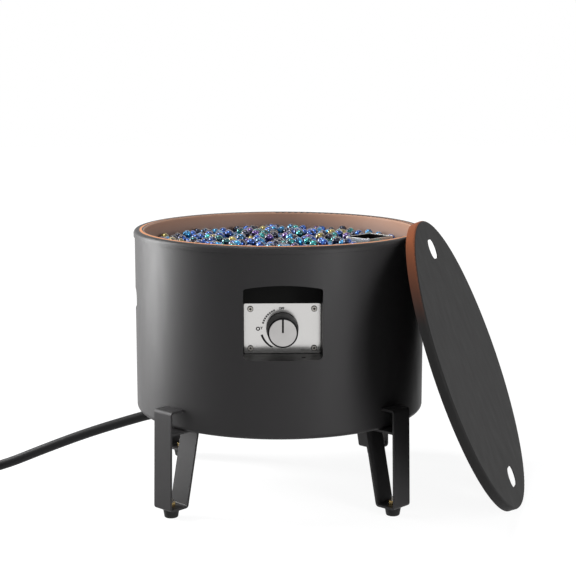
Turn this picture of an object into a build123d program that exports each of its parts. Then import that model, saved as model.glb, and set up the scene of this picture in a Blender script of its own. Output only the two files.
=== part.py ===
from build123d import *
from math import cos, dist, pi, radians, sin, sqrt, tan
import os

# Portable propane fire pit, in millimetres. +Z is up, the control panel faces -Y, and the origin is
# the point of the floor under the middle of the drum.

# Clearances
FIT = 0.3
RUNNING_FIT = 0.05
SCREW_FIT = 0.1

# Drum
DRUM_R = 201.0
DRUM_BOTTOM = 118.0
SHELL = 1.5
DRUM_BEND = 6.0
FLANGE_WIDTH = 36.0
HAND_HOLE_DROP = 110.5
HAND_HOLE_HEIGHT = 29.5
HAND_HOLE_LENGTH = 78.0
HAND_HOLE_CORNER = 12.0

# Fire bowl, whose flange is the rim of the drum
RIM_TOP = 369.0
PAN_SHEET = 1.2
RIM_WIDTH = 15.0
RIM_LIP = 9.0
RIM_BEND = 5.0
RIM_INNER_BEND = 2.5
PAN_DEPTH = 42.8
PAN_BEND = 6.0

# Glass filling
BED_EDGE = 24.0
BED_DOME = 6.0
BED_FOOT = 7.0

# Base plate and its vents
BASE_SHEET = 1.5
BASE_MARGIN = 11.0
VENT_R = 120.0
VENT_LENGTH = 46.0
VENT_WIDTH = 9.0
VENTS = 8

# Legs
LEG_ANGLES = {"front_left": 225.0, "front_right": 315.0, "rear_right": 45.0, "rear_left": 135.0}
LEG_WIDTH = 32.0
LEG_SHEET = 3.0
LEG_BEND = 5.0
LEG_TOP = 147.5
LEG_TOP_REACH = 21.0
LEG_FOOT_REACH = 24.0
LEG_FOOT_LENGTH = 32.0
LEG_FOOT_Z = 12.0
LEG_INSET = 30.5
LEG_SCREW_R = 3.0
LEG_SCREW_HEAD_R = 5.4
LEG_SCREW_HEAD = 3.0
LEG_SCREW_PROUD = 7.5
LEG_SCREW_INSET = 18.5
LEG_NUT_FLATS = 10.0
LEG_NUT_HEIGHT = 4.8

# Levelling feet
PAD_R = 11.0
PAD_LOW_R = 9.0
PAD_ROUND = 2.0
STUD_R = 3.0
STUD_DEPTH = 7.0
STUD_PROUD = 5.5
STUD_EDGE = 0.6
FOOT_NUT_FLATS = 10.0
FOOT_NUT_HEIGHT = 5.0

# Control recess
PANEL_WIDTH = 101.6
SHELF_DROP = 146.5
CEILING_DROP = 49.0
PANEL_Y = -153.5
BOX_SHEET = 1.2
OPENING_SIDE_DROP = 55.0
OPENING_CROWN_DROP = 49.5
OPENING_LOW_CORNER = 6.0
OPENING_HIGH_CORNER = 4.0
DRAIN_R = 2.75
DRAIN_PLACE = (27.0, -180.0)
PLATE_WIDTH = 100.0
PLATE_HEIGHT = 66.0
PLATE_SHEET = 1.5
PLATE_LIFT = 0.5
PLATE_CORNER = 2.0
PANEL_SCREW_X = 41.5
PANEL_SCREW_EDGE = 7.0
PANEL_SCREW_R = 2.0
PANEL_SCREW_HEAD_R = 3.9
PANEL_SCREW_HEAD = 2.4
PANEL_SCREW_LENGTH = 9.0

# Knob
KNOB_LIFT = 33.5
KNOB_GAP = 5.0
KNOB_TRAVEL = 4.0
KNOB_DEPTH = 27.0
KNOB_R = 21.0
KNOB_FRONT_R = 19.5
KNOB_WALL = 2.5
KNOB_CROWN = 4.0
KNOB_HUB_R = 7.0
KNOB_EDGE = 1.5
KNOB_FACE_R = 17.5
KNOB_FACE_SHEET = 1.2
POINTER_WIDTH = 1.8

# Gas valve
VALVE_WIDTH = 36.0
VALVE_HEIGHT = 36.0
VALVE_DEPTH = 34.0
VALVE_EDGE = 2.0
CAP_DEPTH = 6.3
PLUG_R = 8.0
PLUG_LENGTH = 26.7
PLUG_GROOVE = 1.5
STEM_R = 3.0
STEM_SHOULDER = 2.0
STEM_SQUARE = 4.2
SOCKET_SQUARE = 4.4
SPRING_LENGTH = 10.0
SOCKET_FLOOR = 2.0
VALVE_SCREW_X = 14.0
VALVE_SCREW_R = 2.0
VALVE_SCREW_HEAD_R = 3.5
VALVE_SCREW_HEAD = 2.0
VALVE_SCREW_LENGTH = 8.0
PORT_R = 2.5
PORT_BOSS_R = 6.0
PORT_BOSS = 8.0

# Burner and what feeds it
BURNER_R = 80.0
BURNER_WIDTH = 14.0
BURNER_HEIGHT = 12.0
BURNER_ROUND = 4.0
BURNER_WALL = 1.2
BURNER_LIFT = 3.3
BURNER_PORTS = 36
BURNER_PORT_R = 1.1
SPIGOT_R = 8.0
SPIGOT_BORE_R = 5.5
SPIGOT_LENGTH = 26.0
SPIGOT_COLLAR_R = 11.0
BURNER_NUT_FLATS = 24.0
BURNER_NUT_HEIGHT = 8.0
MIXER_R = 11.0
MIXER_WALL = 1.6
MIXER_DROP = 49.0
MIXER_GRIP = 12.0
MIXER_END = 2.0
MIXER_SLOTS = 4
ORIFICE_R = 4.0
ORIFICE_LENGTH = 6.0
JET_R = 0.6
ELBOW_R = 6.0
ELBOW_FLATS = 14.4

# Heat shield
SHIELD_DROP = 33.0
SHIELD_SHEET = 1.2
SHIELD_WIDTH = 110.0
SHIELD_REACH = 89.0
SHIELD_SCREW_MARGIN = 6.5
SHIELD_HOLE_GAP = 1.5

# Igniter guard in the glass
GUARD_STANDOFF = 46.0
GUARD_Y = 3.0
GUARD_TURN = 45.0
GUARD_LENGTH = 52.0
GUARD_WIDTH = 44.0
GUARD_HEIGHT = 29.8
GUARD_SHEET = 1.0
GUARD_BEND = 2.0
BRACKET_WIDTH = 12.0
BRACKET_FOOT = 6.0
BRACKET_EDGE = 6.0
BRACKET_SHELF = 30.0
BRACKET_HEIGHT = 14.0
BRACKET_BEND = 2.2
ELECTRODE_X = -12.0
PROBE_X = 4.0
IGNITER_Y = 6.0
CERAMIC_R = 3.0
CERAMIC_ABOVE = 16.0
CERAMIC_BELOW = 10.0
WIRE_R = 0.9
WIRE_LENGTH = 7.0

# Leads
LEAD_R = 1.75
LEAD_COUPLER_R = 4.0
LEAD_COUPLER = 8.0
LEAD_DROP = 30.0
LEAD_STANDOFF = 36.0
IGNITION_CORNER = (92.0, -70.0)
IGNITION_DROP = 57.0
IGNITION_PORT = (-4.0, 6.0)
SENSOR_CORNER = (101.0, -56.0)
SENSOR_DROP = 65.0
SENSOR_PORT = (8.0, -6.0)

# Gas line
INLET_PLACE = (-90.0, 40.0)
INLET_Z = 97.0
INLET_R = 6.0
INLET_REACH = 22.0
INLET_TOP = 136.0
INLET_SHOULDER_R = 9.5
INLET_SHOULDER = 6.0
INLET_BORE_R = 3.5
LOCKNUT_FLATS = 19.0
LOCKNUT_HEIGHT = 6.0
FEED_R = 4.0
FEED_WALL = 1.0
FEED_BEND = 16.0
FLARE_NUT_FLATS = 16.0
FLARE_NUT_LENGTH = 14.0

# Hose and regulator
HOSE_R = 7.15
SLEEVE_R = 8.2
SLEEVE_LENGTH = 26.0
SLEEVE_GROOVES = 3
GROOVE_WIDTH = 2.4
GROOVE_DEPTH = 0.6
HOSE_ROUTE = [
    (-170.0, 40.0, 97.0),
    (-226.0, 42.5, 80.8),
    (-284.0, 44.5, 62.3),
    (-345.0, 46.0, 39.0),
    (-402.0, 46.0, 16.0),
    (-446.0, 46.0, 7.3),
    (-485.7, 46.0, 7.3),
]
COIL_R = 102.0
COIL_PITCH = 18.0
COIL_TURNS_IN = 2.5
COIL_TURNS_OUT = 2.0
COIL_RISE = 15.8
REGULATOR_R = 27.0
REGULATOR_BOTTOM = 0.3
REGULATOR_HEIGHT = 31.0
REGULATOR_ROUND = 4.0
BONNET_R = 30.0
BONNET_FLANGE = 3.0
BONNET_DOME_R = 20.0
BONNET_DOME = 11.0
BONNET_TAPER = 2.0
BONNET_ROUND = 4.0
BONNET_SCREWS = 6
BONNET_SCREW_R = 1.5
BONNET_SCREW_HEAD_R = 2.9
BONNET_SCREW_HEAD = 1.6
STUB_R = 8.0
STUB_LENGTH = 18.0
NIPPLE_BOSS = 4.0
NIPPLE_R = 7.0
NIPPLE_LENGTH = 14.0
NIPPLE_COLLAR = 4.0
NOSE_TAPER = 2.0
TANK_NUT_R = 21.5
TANK_NUT_LENGTH = 28.0
TANK_NUT_BACK = 5.0
NOSE_INSET = 12.0
TANK_THREAD_R = 16.6
TANK_NUT_ROUND = 1.5
TANK_NUT_SCALLOPS = 12
SCALLOP_R = 3.2
SCALLOP_REACH = 2.0

# Lid, leaning on the right of the rim
LID_R = 204.2
LID_SHEET = 1.2
LID_DEPTH = 12.5
LID_BEND = 3.0
LID_AZIMUTH = -16.0
LID_LEAN = 21.2
LID_SIDE = -15.4
LID_REST_GAP = 0.75
LID_TRIES = 480
FINGER_HOLE_R = 13.6
FINGER_HOLE_LENGTH = 43.5
FINGER_HOLE_PLACE = 163.0
FINGER_HOLE_TURN = -5.3

# Places that follow from the sizes above
RIM_R = DRUM_R + FIT + PAN_SHEET
DRUM_INNER_R = DRUM_R - SHELL
PAN_R = RIM_R - RIM_WIDTH
PAN_FLOOR = RIM_TOP - PAN_DEPTH
PAN_UNDERSIDE = PAN_FLOOR - PAN_SHEET
HAND_HOLE_BOTTOM = RIM_TOP - HAND_HOLE_DROP
SHELF_TOP = RIM_TOP - SHELF_DROP
CEILING = RIM_TOP - CEILING_DROP
OPENING_SIDE_TOP = RIM_TOP - OPENING_SIDE_DROP
OPENING_CROWN = RIM_TOP - OPENING_CROWN_DROP
KNOB_Z = SHELF_TOP + KNOB_LIFT
MIXER_BOTTOM = PAN_UNDERSIDE - MIXER_DROP
SHIELD_Z = PAN_UNDERSIDE - SHIELD_DROP
IGNITION_BEND = (*IGNITION_CORNER, PAN_UNDERSIDE - IGNITION_DROP)
SENSOR_BEND = (*SENSOR_CORNER, PAN_UNDERSIDE - SENSOR_DROP)
LIP_INSIDE_BEND = RIM_BEND - PAN_SHEET
DRUM_TOP = RIM_TOP - RIM_BEND + sqrt(LIP_INSIDE_BEND**2 - (LIP_INSIDE_BEND - FIT) ** 2) - RUNNING_FIT
FLANGE_R = DRUM_R - FLANGE_WIDTH
FLANGE_TOP = DRUM_BOTTOM + SHELL
BASE_R = DRUM_R - BASE_MARGIN
BASE_TOP = FLANGE_TOP + BASE_SHEET
LEG_SCREW_PLACE = DRUM_R - LEG_SCREW_INSET
LEG_TAB_BOTTOM = DRUM_BOTTOM - LEG_SHEET
FOOT_R = DRUM_R + LEG_FOOT_REACH - LEG_FOOT_LENGTH / 2
FOOT_NUT_Z = LEG_FOOT_Z + LEG_SHEET
STUD_TOP = FOOT_NUT_Z + FOOT_NUT_HEIGHT + STUD_PROUD
BOX_REAR_Y = PANEL_Y + BOX_SHEET
BOX_FRONT_R = DRUM_INNER_R - FIT
PLATE_Y = PANEL_Y - PLATE_SHEET
PLATE_BOTTOM = SHELF_TOP + PLATE_LIFT
PLATE_TOP = PLATE_BOTTOM + PLATE_HEIGHT
PANEL_SCREW_ZS = (PLATE_BOTTOM + PANEL_SCREW_EDGE, PLATE_TOP - PANEL_SCREW_EDGE)
KNOB_BACK_Y = PLATE_Y - KNOB_GAP
KNOB_FRONT_Y = KNOB_BACK_Y - KNOB_DEPTH
KNOB_INSIDE_Y = KNOB_FRONT_Y + KNOB_CROWN
CAP_Y = BOX_REAR_Y + CAP_DEPTH
VALVE_REAR_Y = CAP_Y + VALVE_DEPTH
VALVE_BOTTOM = KNOB_Z - VALVE_HEIGHT / 2
VALVE_TOP = KNOB_Z + VALVE_HEIGHT / 2
VALVE_MIDDLE_Y = CAP_Y + VALVE_DEPTH / 2
PLUG_Y = CAP_Y + FIT
PLUG_REAR_Y = PLUG_Y + PLUG_LENGTH
SOCKET_Y = PLUG_REAR_Y - SOCKET_FLOOR
STEM_TIP_Y = SOCKET_Y - SPRING_LENGTH
FEED_END_Z = VALVE_BOTTOM - PORT_BOSS
FEED_Z = (INLET_TOP + FEED_END_Z) / 2
BURNER_BOTTOM = PAN_FLOOR + BURNER_LIFT
BURNER_TOP = BURNER_BOTTOM + BURNER_HEIGHT
SPIGOT_BOTTOM = PAN_FLOOR - SPIGOT_LENGTH
BURNER_NUT_Z = PAN_UNDERSIDE - BURNER_NUT_HEIGHT
GUARD = Pos(BURNER_R + GUARD_STANDOFF, GUARD_Y, PAN_FLOOR) * Rot(0, 0, GUARD_TURN)
SHELF_Z = GUARD_SHEET + BRACKET_HEIGHT
INLET_START_X = INLET_PLACE[0] - INLET_REACH
HOSE_START = (INLET_START_X - SLEEVE_LENGTH, INLET_PLACE[1], INLET_Z)
HOSE_POINTS = [HOSE_START] + HOSE_ROUTE
HOSE_END = HOSE_POINTS[-1]
COIL_X = HOSE_END[0] - 2 * HOSE_R
COIL_Y = HOSE_END[1] - COIL_R
COIL_LOW = HOSE_END[2]
COIL_HIGH = COIL_LOW + COIL_RISE
COIL_INNER_R = COIL_R - COIL_PITCH * COIL_TURNS_IN
COIL_END_R = COIL_INNER_R + COIL_PITCH * (COIL_TURNS_OUT + 0.25)
REGULATOR_X = COIL_X - COIL_END_R
COIL_END_Y = COIL_Y - COIL_PITCH / 4 - 2 * HOSE_R
REGULATOR_SLEEVE_Y = COIL_END_Y - SLEEVE_LENGTH
REGULATOR_Y = REGULATOR_SLEEVE_Y - STUB_LENGTH - REGULATOR_R
REGULATOR_TOP = REGULATOR_BOTTOM + REGULATOR_HEIGHT
BONNET_Z = REGULATOR_TOP + BONNET_FLANGE
BONNET_SCREW_PLACE = (BONNET_R + BONNET_DOME_R) / 2
NIPPLE_Y = REGULATOR_Y - REGULATOR_R - NIPPLE_BOSS
TANK_NUT_Y = NIPPLE_Y - NIPPLE_LENGTH

LOW = (Align.CENTER, Align.CENTER, Align.MIN)

# Shares that shapes of the same kind have in common
HEAD_ROUND = 0.2
RECESS_LENGTH = 1.0
RECESS_WIDTH = 0.25
BEND_SHARE = 0.45


# Shapes that several pieces share


def rod(radius, start, end):
    """Round bar between two points."""
    axis = Vector(end) - Vector(start)
    return Plane(origin=start, z_dir=axis) * Cylinder(radius, axis.length, align=LOW)


def pipe(radius, bore, start, end):
    """Round bar with a bore right through it."""
    return rod(radius, start, end) - rod(bore, start, end)


def slab(low, high):
    """Box between two opposite corners."""
    size = Vector(high) - Vector(low)
    return Pos(*low) * Box(size.X, size.Y, size.Z, align=(Align.MIN, Align.MIN, Align.MIN))


def cone(low_radius, high_radius, start, end):
    """Tapered round bar between two points."""
    axis = Vector(end) - Vector(start)
    return Plane(origin=start, z_dir=axis) * Cone(low_radius, high_radius, axis.length, align=LOW)


def hexagon(flats, start, end):
    """Six-sided bar between two points, measured across its flats."""
    axis = Vector(end) - Vector(start)
    outline = RegularPolygon(flats / 2, 6, major_radius=False)
    return Plane(origin=start, z_dir=axis) * extrude(outline, axis.length)


def bent_section(path, sheet, bends):
    """Section in XZ of a bent sheet.

    The path runs along one face with the metal on its left, and each bend has its outer radius.
    """
    points = [Vector(across, height) for across, height in path]
    steps = [(end - start).normalized() for start, end in zip(points, points[1:])]
    normals = [Vector(-step.Y, step.X) for step in steps]
    back = [points[0] + normals[0] * sheet]
    for corner, before, after in zip(points[1:-1], normals, normals[1:]):
        back.append(corner + (before + after) * (sheet / (1 + before.dot(after))))
    back.append(points[-1] + normals[-1] * sheet)
    left_turns = [before.cross(after).Z > 0 for before, after in zip(steps, steps[1:])]
    front_radii = [bend if left else bend - sheet for bend, left in zip(bends, left_turns)]
    back_radii = [bend - sheet if left else bend for bend, left in zip(bends, left_turns)]
    front_line = FilletPolyline(*points, radius=front_radii)
    back_line = FilletPolyline(*back, radius=back_radii)
    ends = [Line(front_line @ 1, back_line @ 1), Line(back_line @ 0, front_line @ 0)]
    return Plane.XZ * make_face(front_line.edges() + back_line.edges() + ShapeList(ends))


def around(shape, count, start=0.0):
    """Copies of a shape spaced evenly about Z."""
    return [Rot(0, 0, start + 360 * index / count) * shape for index in range(count)]


def pan_head_screw(under_head, tip, radius, head_radius, head_height):
    """Screw with a cross recess, its head in front of the point under_head and its shank to tip."""
    axis = (Vector(tip) - Vector(under_head)).normalized()
    top = Vector(under_head) - axis * head_height
    screw = rod(head_radius, top, under_head)
    face = screw.faces().sort_by(lambda face: (face.center() - top).length)[0]
    screw = fillet(face.edges(), HEAD_ROUND * head_radius)
    screw += rod(radius, under_head, tip)
    slot = Box(RECESS_LENGTH * head_radius, RECESS_WIDTH * head_radius, head_height)
    return screw - Plane(origin=top, z_dir=axis) * (slot + Rot(0, 0, 90) * slot)


def group(solids):
    """One node that holds several separate solids."""
    return Compound(children=list(solids))


def routed(points, radius):
    """Tube along straight runs joined by the widest arcs that the runs allow."""
    corners = [Vector(point) for point in points]
    runs = [end - start for start, end in zip(corners, corners[1:])]
    radii = []
    for before, after in zip(runs, runs[1:]):
        half_turn = radians(before.get_angle(after)) / 2
        radii.append(BEND_SHARE * min(before.length, after.length) / tan(half_turn))
    path = FilletPolyline(*corners, radius=radii)
    return tube_along(path, radius), path, radii


def tube_along(path, radius):
    """Round bar along a smooth path."""
    return sweep(Plane(origin=path @ 0, z_dir=path % 0) * Circle(radius), path=path)


# Body


def make_drum_shell():
    """Rolled wall with its bottom flange, control opening, hand-holes and screw holes."""
    path = [(FLANGE_R, DRUM_BOTTOM), (DRUM_R, DRUM_BOTTOM), (DRUM_R, DRUM_TOP)]
    shell = revolve(bent_section(path, SHELL, [DRUM_BEND]), Axis.Z, 360)
    shell -= opening_cut()
    for side in (-1, 1):
        shell -= hand_hole_cut(side)
    return shell - leg_screw_holes()


def opening_cut():
    """Block with the outline of the control opening, whose top edge is arched."""
    half = PANEL_WIDTH / 2
    low_left, low_right = (-half, SHELF_TOP), (half, SHELF_TOP)
    high_left, high_right = (-half, OPENING_SIDE_TOP), (half, OPENING_SIDE_TOP)
    sides = Polyline(high_left, low_left, low_right, high_right)
    arch = ThreePointArc(high_right, (0, OPENING_CROWN), high_left)
    outline = make_face(sides.edges() + arch.edges())
    outline = fillet(outline.vertices().group_by(Axis.Y)[0], OPENING_LOW_CORNER)
    outline = fillet(outline.vertices().group_by(Axis.Y)[-1], OPENING_HIGH_CORNER)
    return Pos(0, PANEL_Y, 0) * extrude(Plane.XZ * outline, DRUM_R)


def hand_hole_cut(side):
    """Block for the hand-hole of one side, with rounded corners."""
    outline = RectangleRounded(HAND_HOLE_LENGTH, HAND_HOLE_HEIGHT, HAND_HOLE_CORNER)
    middle = (side * FLANGE_R, 0, HAND_HOLE_BOTTOM + HAND_HOLE_HEIGHT / 2)
    wall = Plane(origin=middle, x_dir=(0, 1, 0), z_dir=(side, 0, 0))
    return wall * extrude(outline, DRUM_R - FLANGE_R + SHELL)


def leg_screw_hole():
    """Rod for the hole of a leg screw, before its turn about the drum."""
    start, end = (LEG_SCREW_PLACE, 0, LEG_TAB_BOTTOM), (LEG_SCREW_PLACE, 0, BASE_TOP)
    return rod(LEG_SCREW_R + SCREW_FIT, start, end)


def leg_screw_holes():
    """Rods for the holes of the four leg screws."""
    return [Rot(0, 0, angle) * leg_screw_hole() for angle in LEG_ANGLES.values()]


def make_base_plate():
    """Vented floor that lies on the flange of the drum."""
    plate = rod(BASE_R, (0, 0, FLANGE_TOP), (0, 0, BASE_TOP))
    vent = Pos(VENT_R, 0, FLANGE_TOP) * extrude(SlotOverall(VENT_LENGTH, VENT_WIDTH), BASE_SHEET)
    plate -= around(vent, VENTS, 180 / VENTS)
    inlet = rod(INLET_R + SCREW_FIT, (*INLET_PLACE, DRUM_BOTTOM), (*INLET_PLACE, INLET_TOP))
    return plate - leg_screw_holes() - inlet


def make_burner_pan():
    """Fire bowl with its flange and outer lip, hung on the top edge of the drum."""
    path = [
        (RIM_R, RIM_TOP - RIM_LIP),
        (RIM_R, RIM_TOP),
        (PAN_R, RIM_TOP),
        (PAN_R, PAN_FLOOR),
        (0, PAN_FLOOR),
    ]
    pan = revolve(bent_section(path, PAN_SHEET, [RIM_BEND, RIM_INNER_BEND, PAN_BEND]), Axis.Z, 360)
    spigot = rod(SPIGOT_R + FIT, (0, -BURNER_R, PAN_UNDERSIDE), (0, -BURNER_R, PAN_FLOOR))
    return pan - spigot - igniter_holes()


def igniter_holes():
    """Rods for the holes that the electrode and the flame sensor pass through."""
    holes = []
    for across in (ELECTRODE_X, PROBE_X):
        hole = rod(CERAMIC_R + FIT, (across, IGNITER_Y, -PAN_SHEET), (across, IGNITER_Y, SHELF_Z))
        holes.append(GUARD * hole)
    return holes


def make_glass_bed():
    """Loose glass filling, domed, clear of the burner and of the igniter guard."""
    radius = PAN_R - FIT
    bottom = PAN_FLOOR + FIT
    edge = RIM_TOP - BED_EDGE
    top, foot = (0, edge + BED_DOME), (radius - BED_FOOT, bottom)
    sides = Polyline(top, (0, bottom), foot, (radius, bottom + BED_FOOT), (radius, edge))
    dome = TangentArc(top, (radius, edge), tangent=(1, 0))
    bed = revolve(Plane.XZ * make_face(sides.edges() + dome.edges()), Axis.Z, 360)
    bed -= burner_body(-FIT)
    bed -= rod(SPIGOT_COLLAR_R + FIT, (0, -BURNER_R, PAN_FLOOR), (0, -BURNER_R, BURNER_BOTTOM))
    guard = Box(GUARD_LENGTH + 2 * FIT, GUARD_WIDTH + 2 * FIT, PAN_DEPTH, align=LOW)
    return bed - GUARD * guard


# Legs and feet


def make_leg_bar(angle):
    """Flat bar bent into a narrow V, with a tab under the drum and one on its wall."""
    path = [
        (DRUM_R - LEG_INSET + LEG_FOOT_LENGTH, DRUM_BOTTOM),
        (DRUM_R - LEG_INSET, DRUM_BOTTOM),
        (DRUM_R + LEG_FOOT_REACH - LEG_FOOT_LENGTH, LEG_FOOT_Z),
        (DRUM_R + LEG_FOOT_REACH, LEG_FOOT_Z),
        (DRUM_R + LEG_TOP_REACH, LEG_TOP),
        (DRUM_R - SHELL, LEG_TOP),
    ]
    bar = extrude(bent_section(path, LEG_SHEET, [LEG_BEND] * 4), LEG_WIDTH / 2, both=True)
    lean = (LEG_FOOT_REACH - LEG_TOP_REACH) / (LEG_TOP - LEG_FOOT_Z)
    weld = DRUM_R + LEG_TOP_REACH + lean * (LEG_TOP - DRUM_BOTTOM) - LEG_SHEET / 2
    tab = DRUM_R - LEG_INSET + LEG_BEND
    bar += slab((tab, -LEG_WIDTH / 2, LEG_TAB_BOTTOM), (weld, LEG_WIDTH / 2, DRUM_BOTTOM))
    bar -= rod(DRUM_R + FIT, (0, 0, DRUM_BOTTOM), (0, 0, LEG_TOP + LEG_SHEET))
    bar -= leg_screw_hole()
    bar -= rod(STUD_R + FIT, (FOOT_R, 0, LEG_FOOT_Z), (FOOT_R, 0, FOOT_NUT_Z))
    return Rot(0, 0, angle) * bar


def make_leg_screw(angle):
    """Screw up through a leg's tab, the drum's flange and the base plate."""
    under_head = (LEG_SCREW_PLACE, 0, LEG_TAB_BOTTOM)
    tip = (LEG_SCREW_PLACE, 0, BASE_TOP + LEG_SCREW_PROUD)
    screw = pan_head_screw(under_head, tip, LEG_SCREW_R, LEG_SCREW_HEAD_R, LEG_SCREW_HEAD)
    return Rot(0, 0, angle) * screw


def make_leg_nut(angle):
    """Nut of a leg screw, on top of the base plate."""
    start = (LEG_SCREW_PLACE, 0, BASE_TOP)
    end = (LEG_SCREW_PLACE, 0, BASE_TOP + LEG_NUT_HEIGHT)
    nut = hexagon(LEG_NUT_FLATS, start, end) - rod(LEG_SCREW_R + SCREW_FIT, start, end)
    return Rot(0, 0, angle) * nut


def make_foot_pad(angle):
    """Rubber foot, tapered and rounded towards the floor."""
    pad = cone(PAD_LOW_R, PAD_R, (FOOT_R, 0, 0), (FOOT_R, 0, LEG_FOOT_Z - FIT))
    pad = fillet(pad.edges().group_by(Axis.Z)[0], PAD_ROUND)
    socket = rod(STUD_R + RUNNING_FIT, (FOOT_R, 0, LEG_FOOT_Z - STUD_DEPTH), (FOOT_R, 0, LEG_FOOT_Z))
    return Rot(0, 0, angle) * (pad - socket)


def make_foot_stud(angle):
    """Threaded stud of a foot, from inside the rubber to above its nut."""
    stud = rod(STUD_R, (FOOT_R, 0, LEG_FOOT_Z - STUD_DEPTH), (FOOT_R, 0, STUD_TOP))
    return Rot(0, 0, angle) * chamfer(stud.edges().group_by(Axis.Z)[-1], STUD_EDGE)


def make_foot_nut(angle):
    """Brass nut on the foot of a leg, in which the stud turns."""
    start, end = (FOOT_R, 0, FOOT_NUT_Z), (FOOT_R, 0, FOOT_NUT_Z + FOOT_NUT_HEIGHT)
    nut = hexagon(FOOT_NUT_FLATS, start, end) - rod(STUD_R + RUNNING_FIT, start, end)
    return Rot(0, 0, angle) * nut


# Control recess


def make_panel_box():
    """Sheet box behind the opening, open to the front, with a drain hole in its shelf."""
    half = PANEL_WIDTH / 2
    outside = half + BOX_SHEET
    outer = slab((-outside, -DRUM_R, SHELF_TOP - BOX_SHEET), (outside, BOX_REAR_Y, CEILING + BOX_SHEET))
    inner = slab((-half, -DRUM_R, SHELF_TOP), (half, PANEL_Y, CEILING))
    box = (outer - inner) & rod(BOX_FRONT_R, (0, 0, 0), (0, 0, RIM_TOP))
    box -= rod(DRAIN_R, (*DRAIN_PLACE, SHELF_TOP - BOX_SHEET), (*DRAIN_PLACE, SHELF_TOP))
    return box - panel_holes()


def panel_holes():
    """Rods for the stem hole and the screw holes of the control plate and the box behind it."""
    holes = [rod(2 * STEM_R, (0, PLATE_Y, KNOB_Z), (0, BOX_REAR_Y, KNOB_Z))]
    for side in (-1, 1):
        across = side * VALVE_SCREW_X
        holes.append(rod(VALVE_SCREW_R + SCREW_FIT, (across, PLATE_Y, KNOB_Z), (across, CAP_Y, KNOB_Z)))
        for height in PANEL_SCREW_ZS:
            place = side * PANEL_SCREW_X
            start, end = (place, PLATE_Y, height), (place, BOX_REAR_Y + SHIELD_SHEET, height)
            holes.append(rod(PANEL_SCREW_R + SCREW_FIT, start, end))
    return holes


def make_control_plate():
    """Stainless plate at the back of the recess."""
    half = PLATE_WIDTH / 2
    plate = slab((-half, PLATE_Y, PLATE_BOTTOM), (half, PANEL_Y, PLATE_TOP))
    return fillet(plate.edges().filter_by(Axis.Y), PLATE_CORNER) - panel_holes()


def make_panel_screws():
    """Four pan-head screws at the corners of the plate."""
    screws = []
    for across in (-PANEL_SCREW_X, PANEL_SCREW_X):
        for height in PANEL_SCREW_ZS:
            under_head = (across, PLATE_Y, height)
            tip = (across, PLATE_Y + PANEL_SCREW_LENGTH, height)
            screw = pan_head_screw(under_head, tip, PANEL_SCREW_R, PANEL_SCREW_HEAD_R, PANEL_SCREW_HEAD)
            screws.append(screw)
    return group(screws)


def make_valve_screws():
    """Two screws that hold the valve to the plate, hidden under the knob."""
    screws = []
    for across in (-VALVE_SCREW_X, VALVE_SCREW_X):
        under_head = (across, PLATE_Y, KNOB_Z)
        tip = (across, PLATE_Y + VALVE_SCREW_LENGTH, KNOB_Z)
        screw = pan_head_screw(under_head, tip, VALVE_SCREW_R, VALVE_SCREW_HEAD_R, VALVE_SCREW_HEAD)
        screws.append(screw)
    return group(screws)


def make_knob():
    """Hollow tapered knob with a hub for the stem and a seat for its face."""
    back, front = (0, KNOB_BACK_Y, KNOB_Z), (0, KNOB_FRONT_Y, KNOB_Z)
    inside = (0, KNOB_INSIDE_Y, KNOB_Z)
    knob = cone(KNOB_R, KNOB_FRONT_R, back, front)
    knob = fillet(knob.edges().group_by(Axis.Y)[0], KNOB_EDGE)
    knob -= cone(KNOB_R - KNOB_WALL, KNOB_FRONT_R - KNOB_WALL, back, inside)
    knob += rod(KNOB_HUB_R, back, inside)
    stem_room = (0, KNOB_INSIDE_Y + FIT, KNOB_Z)
    knob -= rod(STEM_R + RUNNING_FIT, back, stem_room)
    seat = (0, KNOB_FRONT_Y + KNOB_FACE_SHEET, KNOB_Z)
    return knob - rod(KNOB_FACE_R + SCREW_FIT, front, seat)


def make_knob_face():
    """Satin metal disc in the front of the knob, slotted for the pointer."""
    seat = (0, KNOB_FRONT_Y + KNOB_FACE_SHEET, KNOB_Z)
    front = (0, KNOB_FRONT_Y - FIT, KNOB_Z)
    half = POINTER_WIDTH / 2
    slot = slab((-half, front[1], KNOB_Z), (half, seat[1], KNOB_Z + KNOB_FACE_R))
    return rod(KNOB_FACE_R, seat, front) - slot


# Gas valve and the feed to the burner


def make_valve_body():
    """Brass block with the bore of the plug, the inlet below and the outlet at the rear."""
    half = VALVE_WIDTH / 2
    body = slab((-half, CAP_Y, VALVE_BOTTOM), (half, VALVE_REAR_Y, VALVE_TOP))
    body = chamfer(body.edges().filter_by(Axis.Y), VALVE_EDGE)
    boss = (0, VALVE_MIDDLE_Y, FEED_END_Z)
    body += rod(PORT_BOSS_R, boss, (0, VALVE_MIDDLE_Y, VALVE_BOTTOM))
    body -= rod(PLUG_R + RUNNING_FIT, (0, CAP_Y, KNOB_Z), (0, PLUG_REAR_Y + FIT, KNOB_Z))
    body -= rod(PORT_R, boss, (0, VALVE_MIDDLE_Y, KNOB_Z))
    return body - rod(PORT_R, (0, PLUG_REAR_Y, KNOB_Z), (0, VALVE_REAR_Y, KNOB_Z))


def make_valve_cap():
    """Front plate of the valve, which guides the stem and takes the two screws."""
    half = VALVE_WIDTH / 2
    cap = slab((-half, BOX_REAR_Y, VALVE_BOTTOM), (half, CAP_Y, VALVE_TOP))
    cap -= rod(STEM_R + RUNNING_FIT, (0, BOX_REAR_Y, KNOB_Z), (0, CAP_Y, KNOB_Z))
    for across in (-VALVE_SCREW_X, VALVE_SCREW_X):
        cap -= rod(VALVE_SCREW_R + SCREW_FIT, (across, BOX_REAR_Y, KNOB_Z), (across, CAP_Y, KNOB_Z))
    return cap


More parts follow.
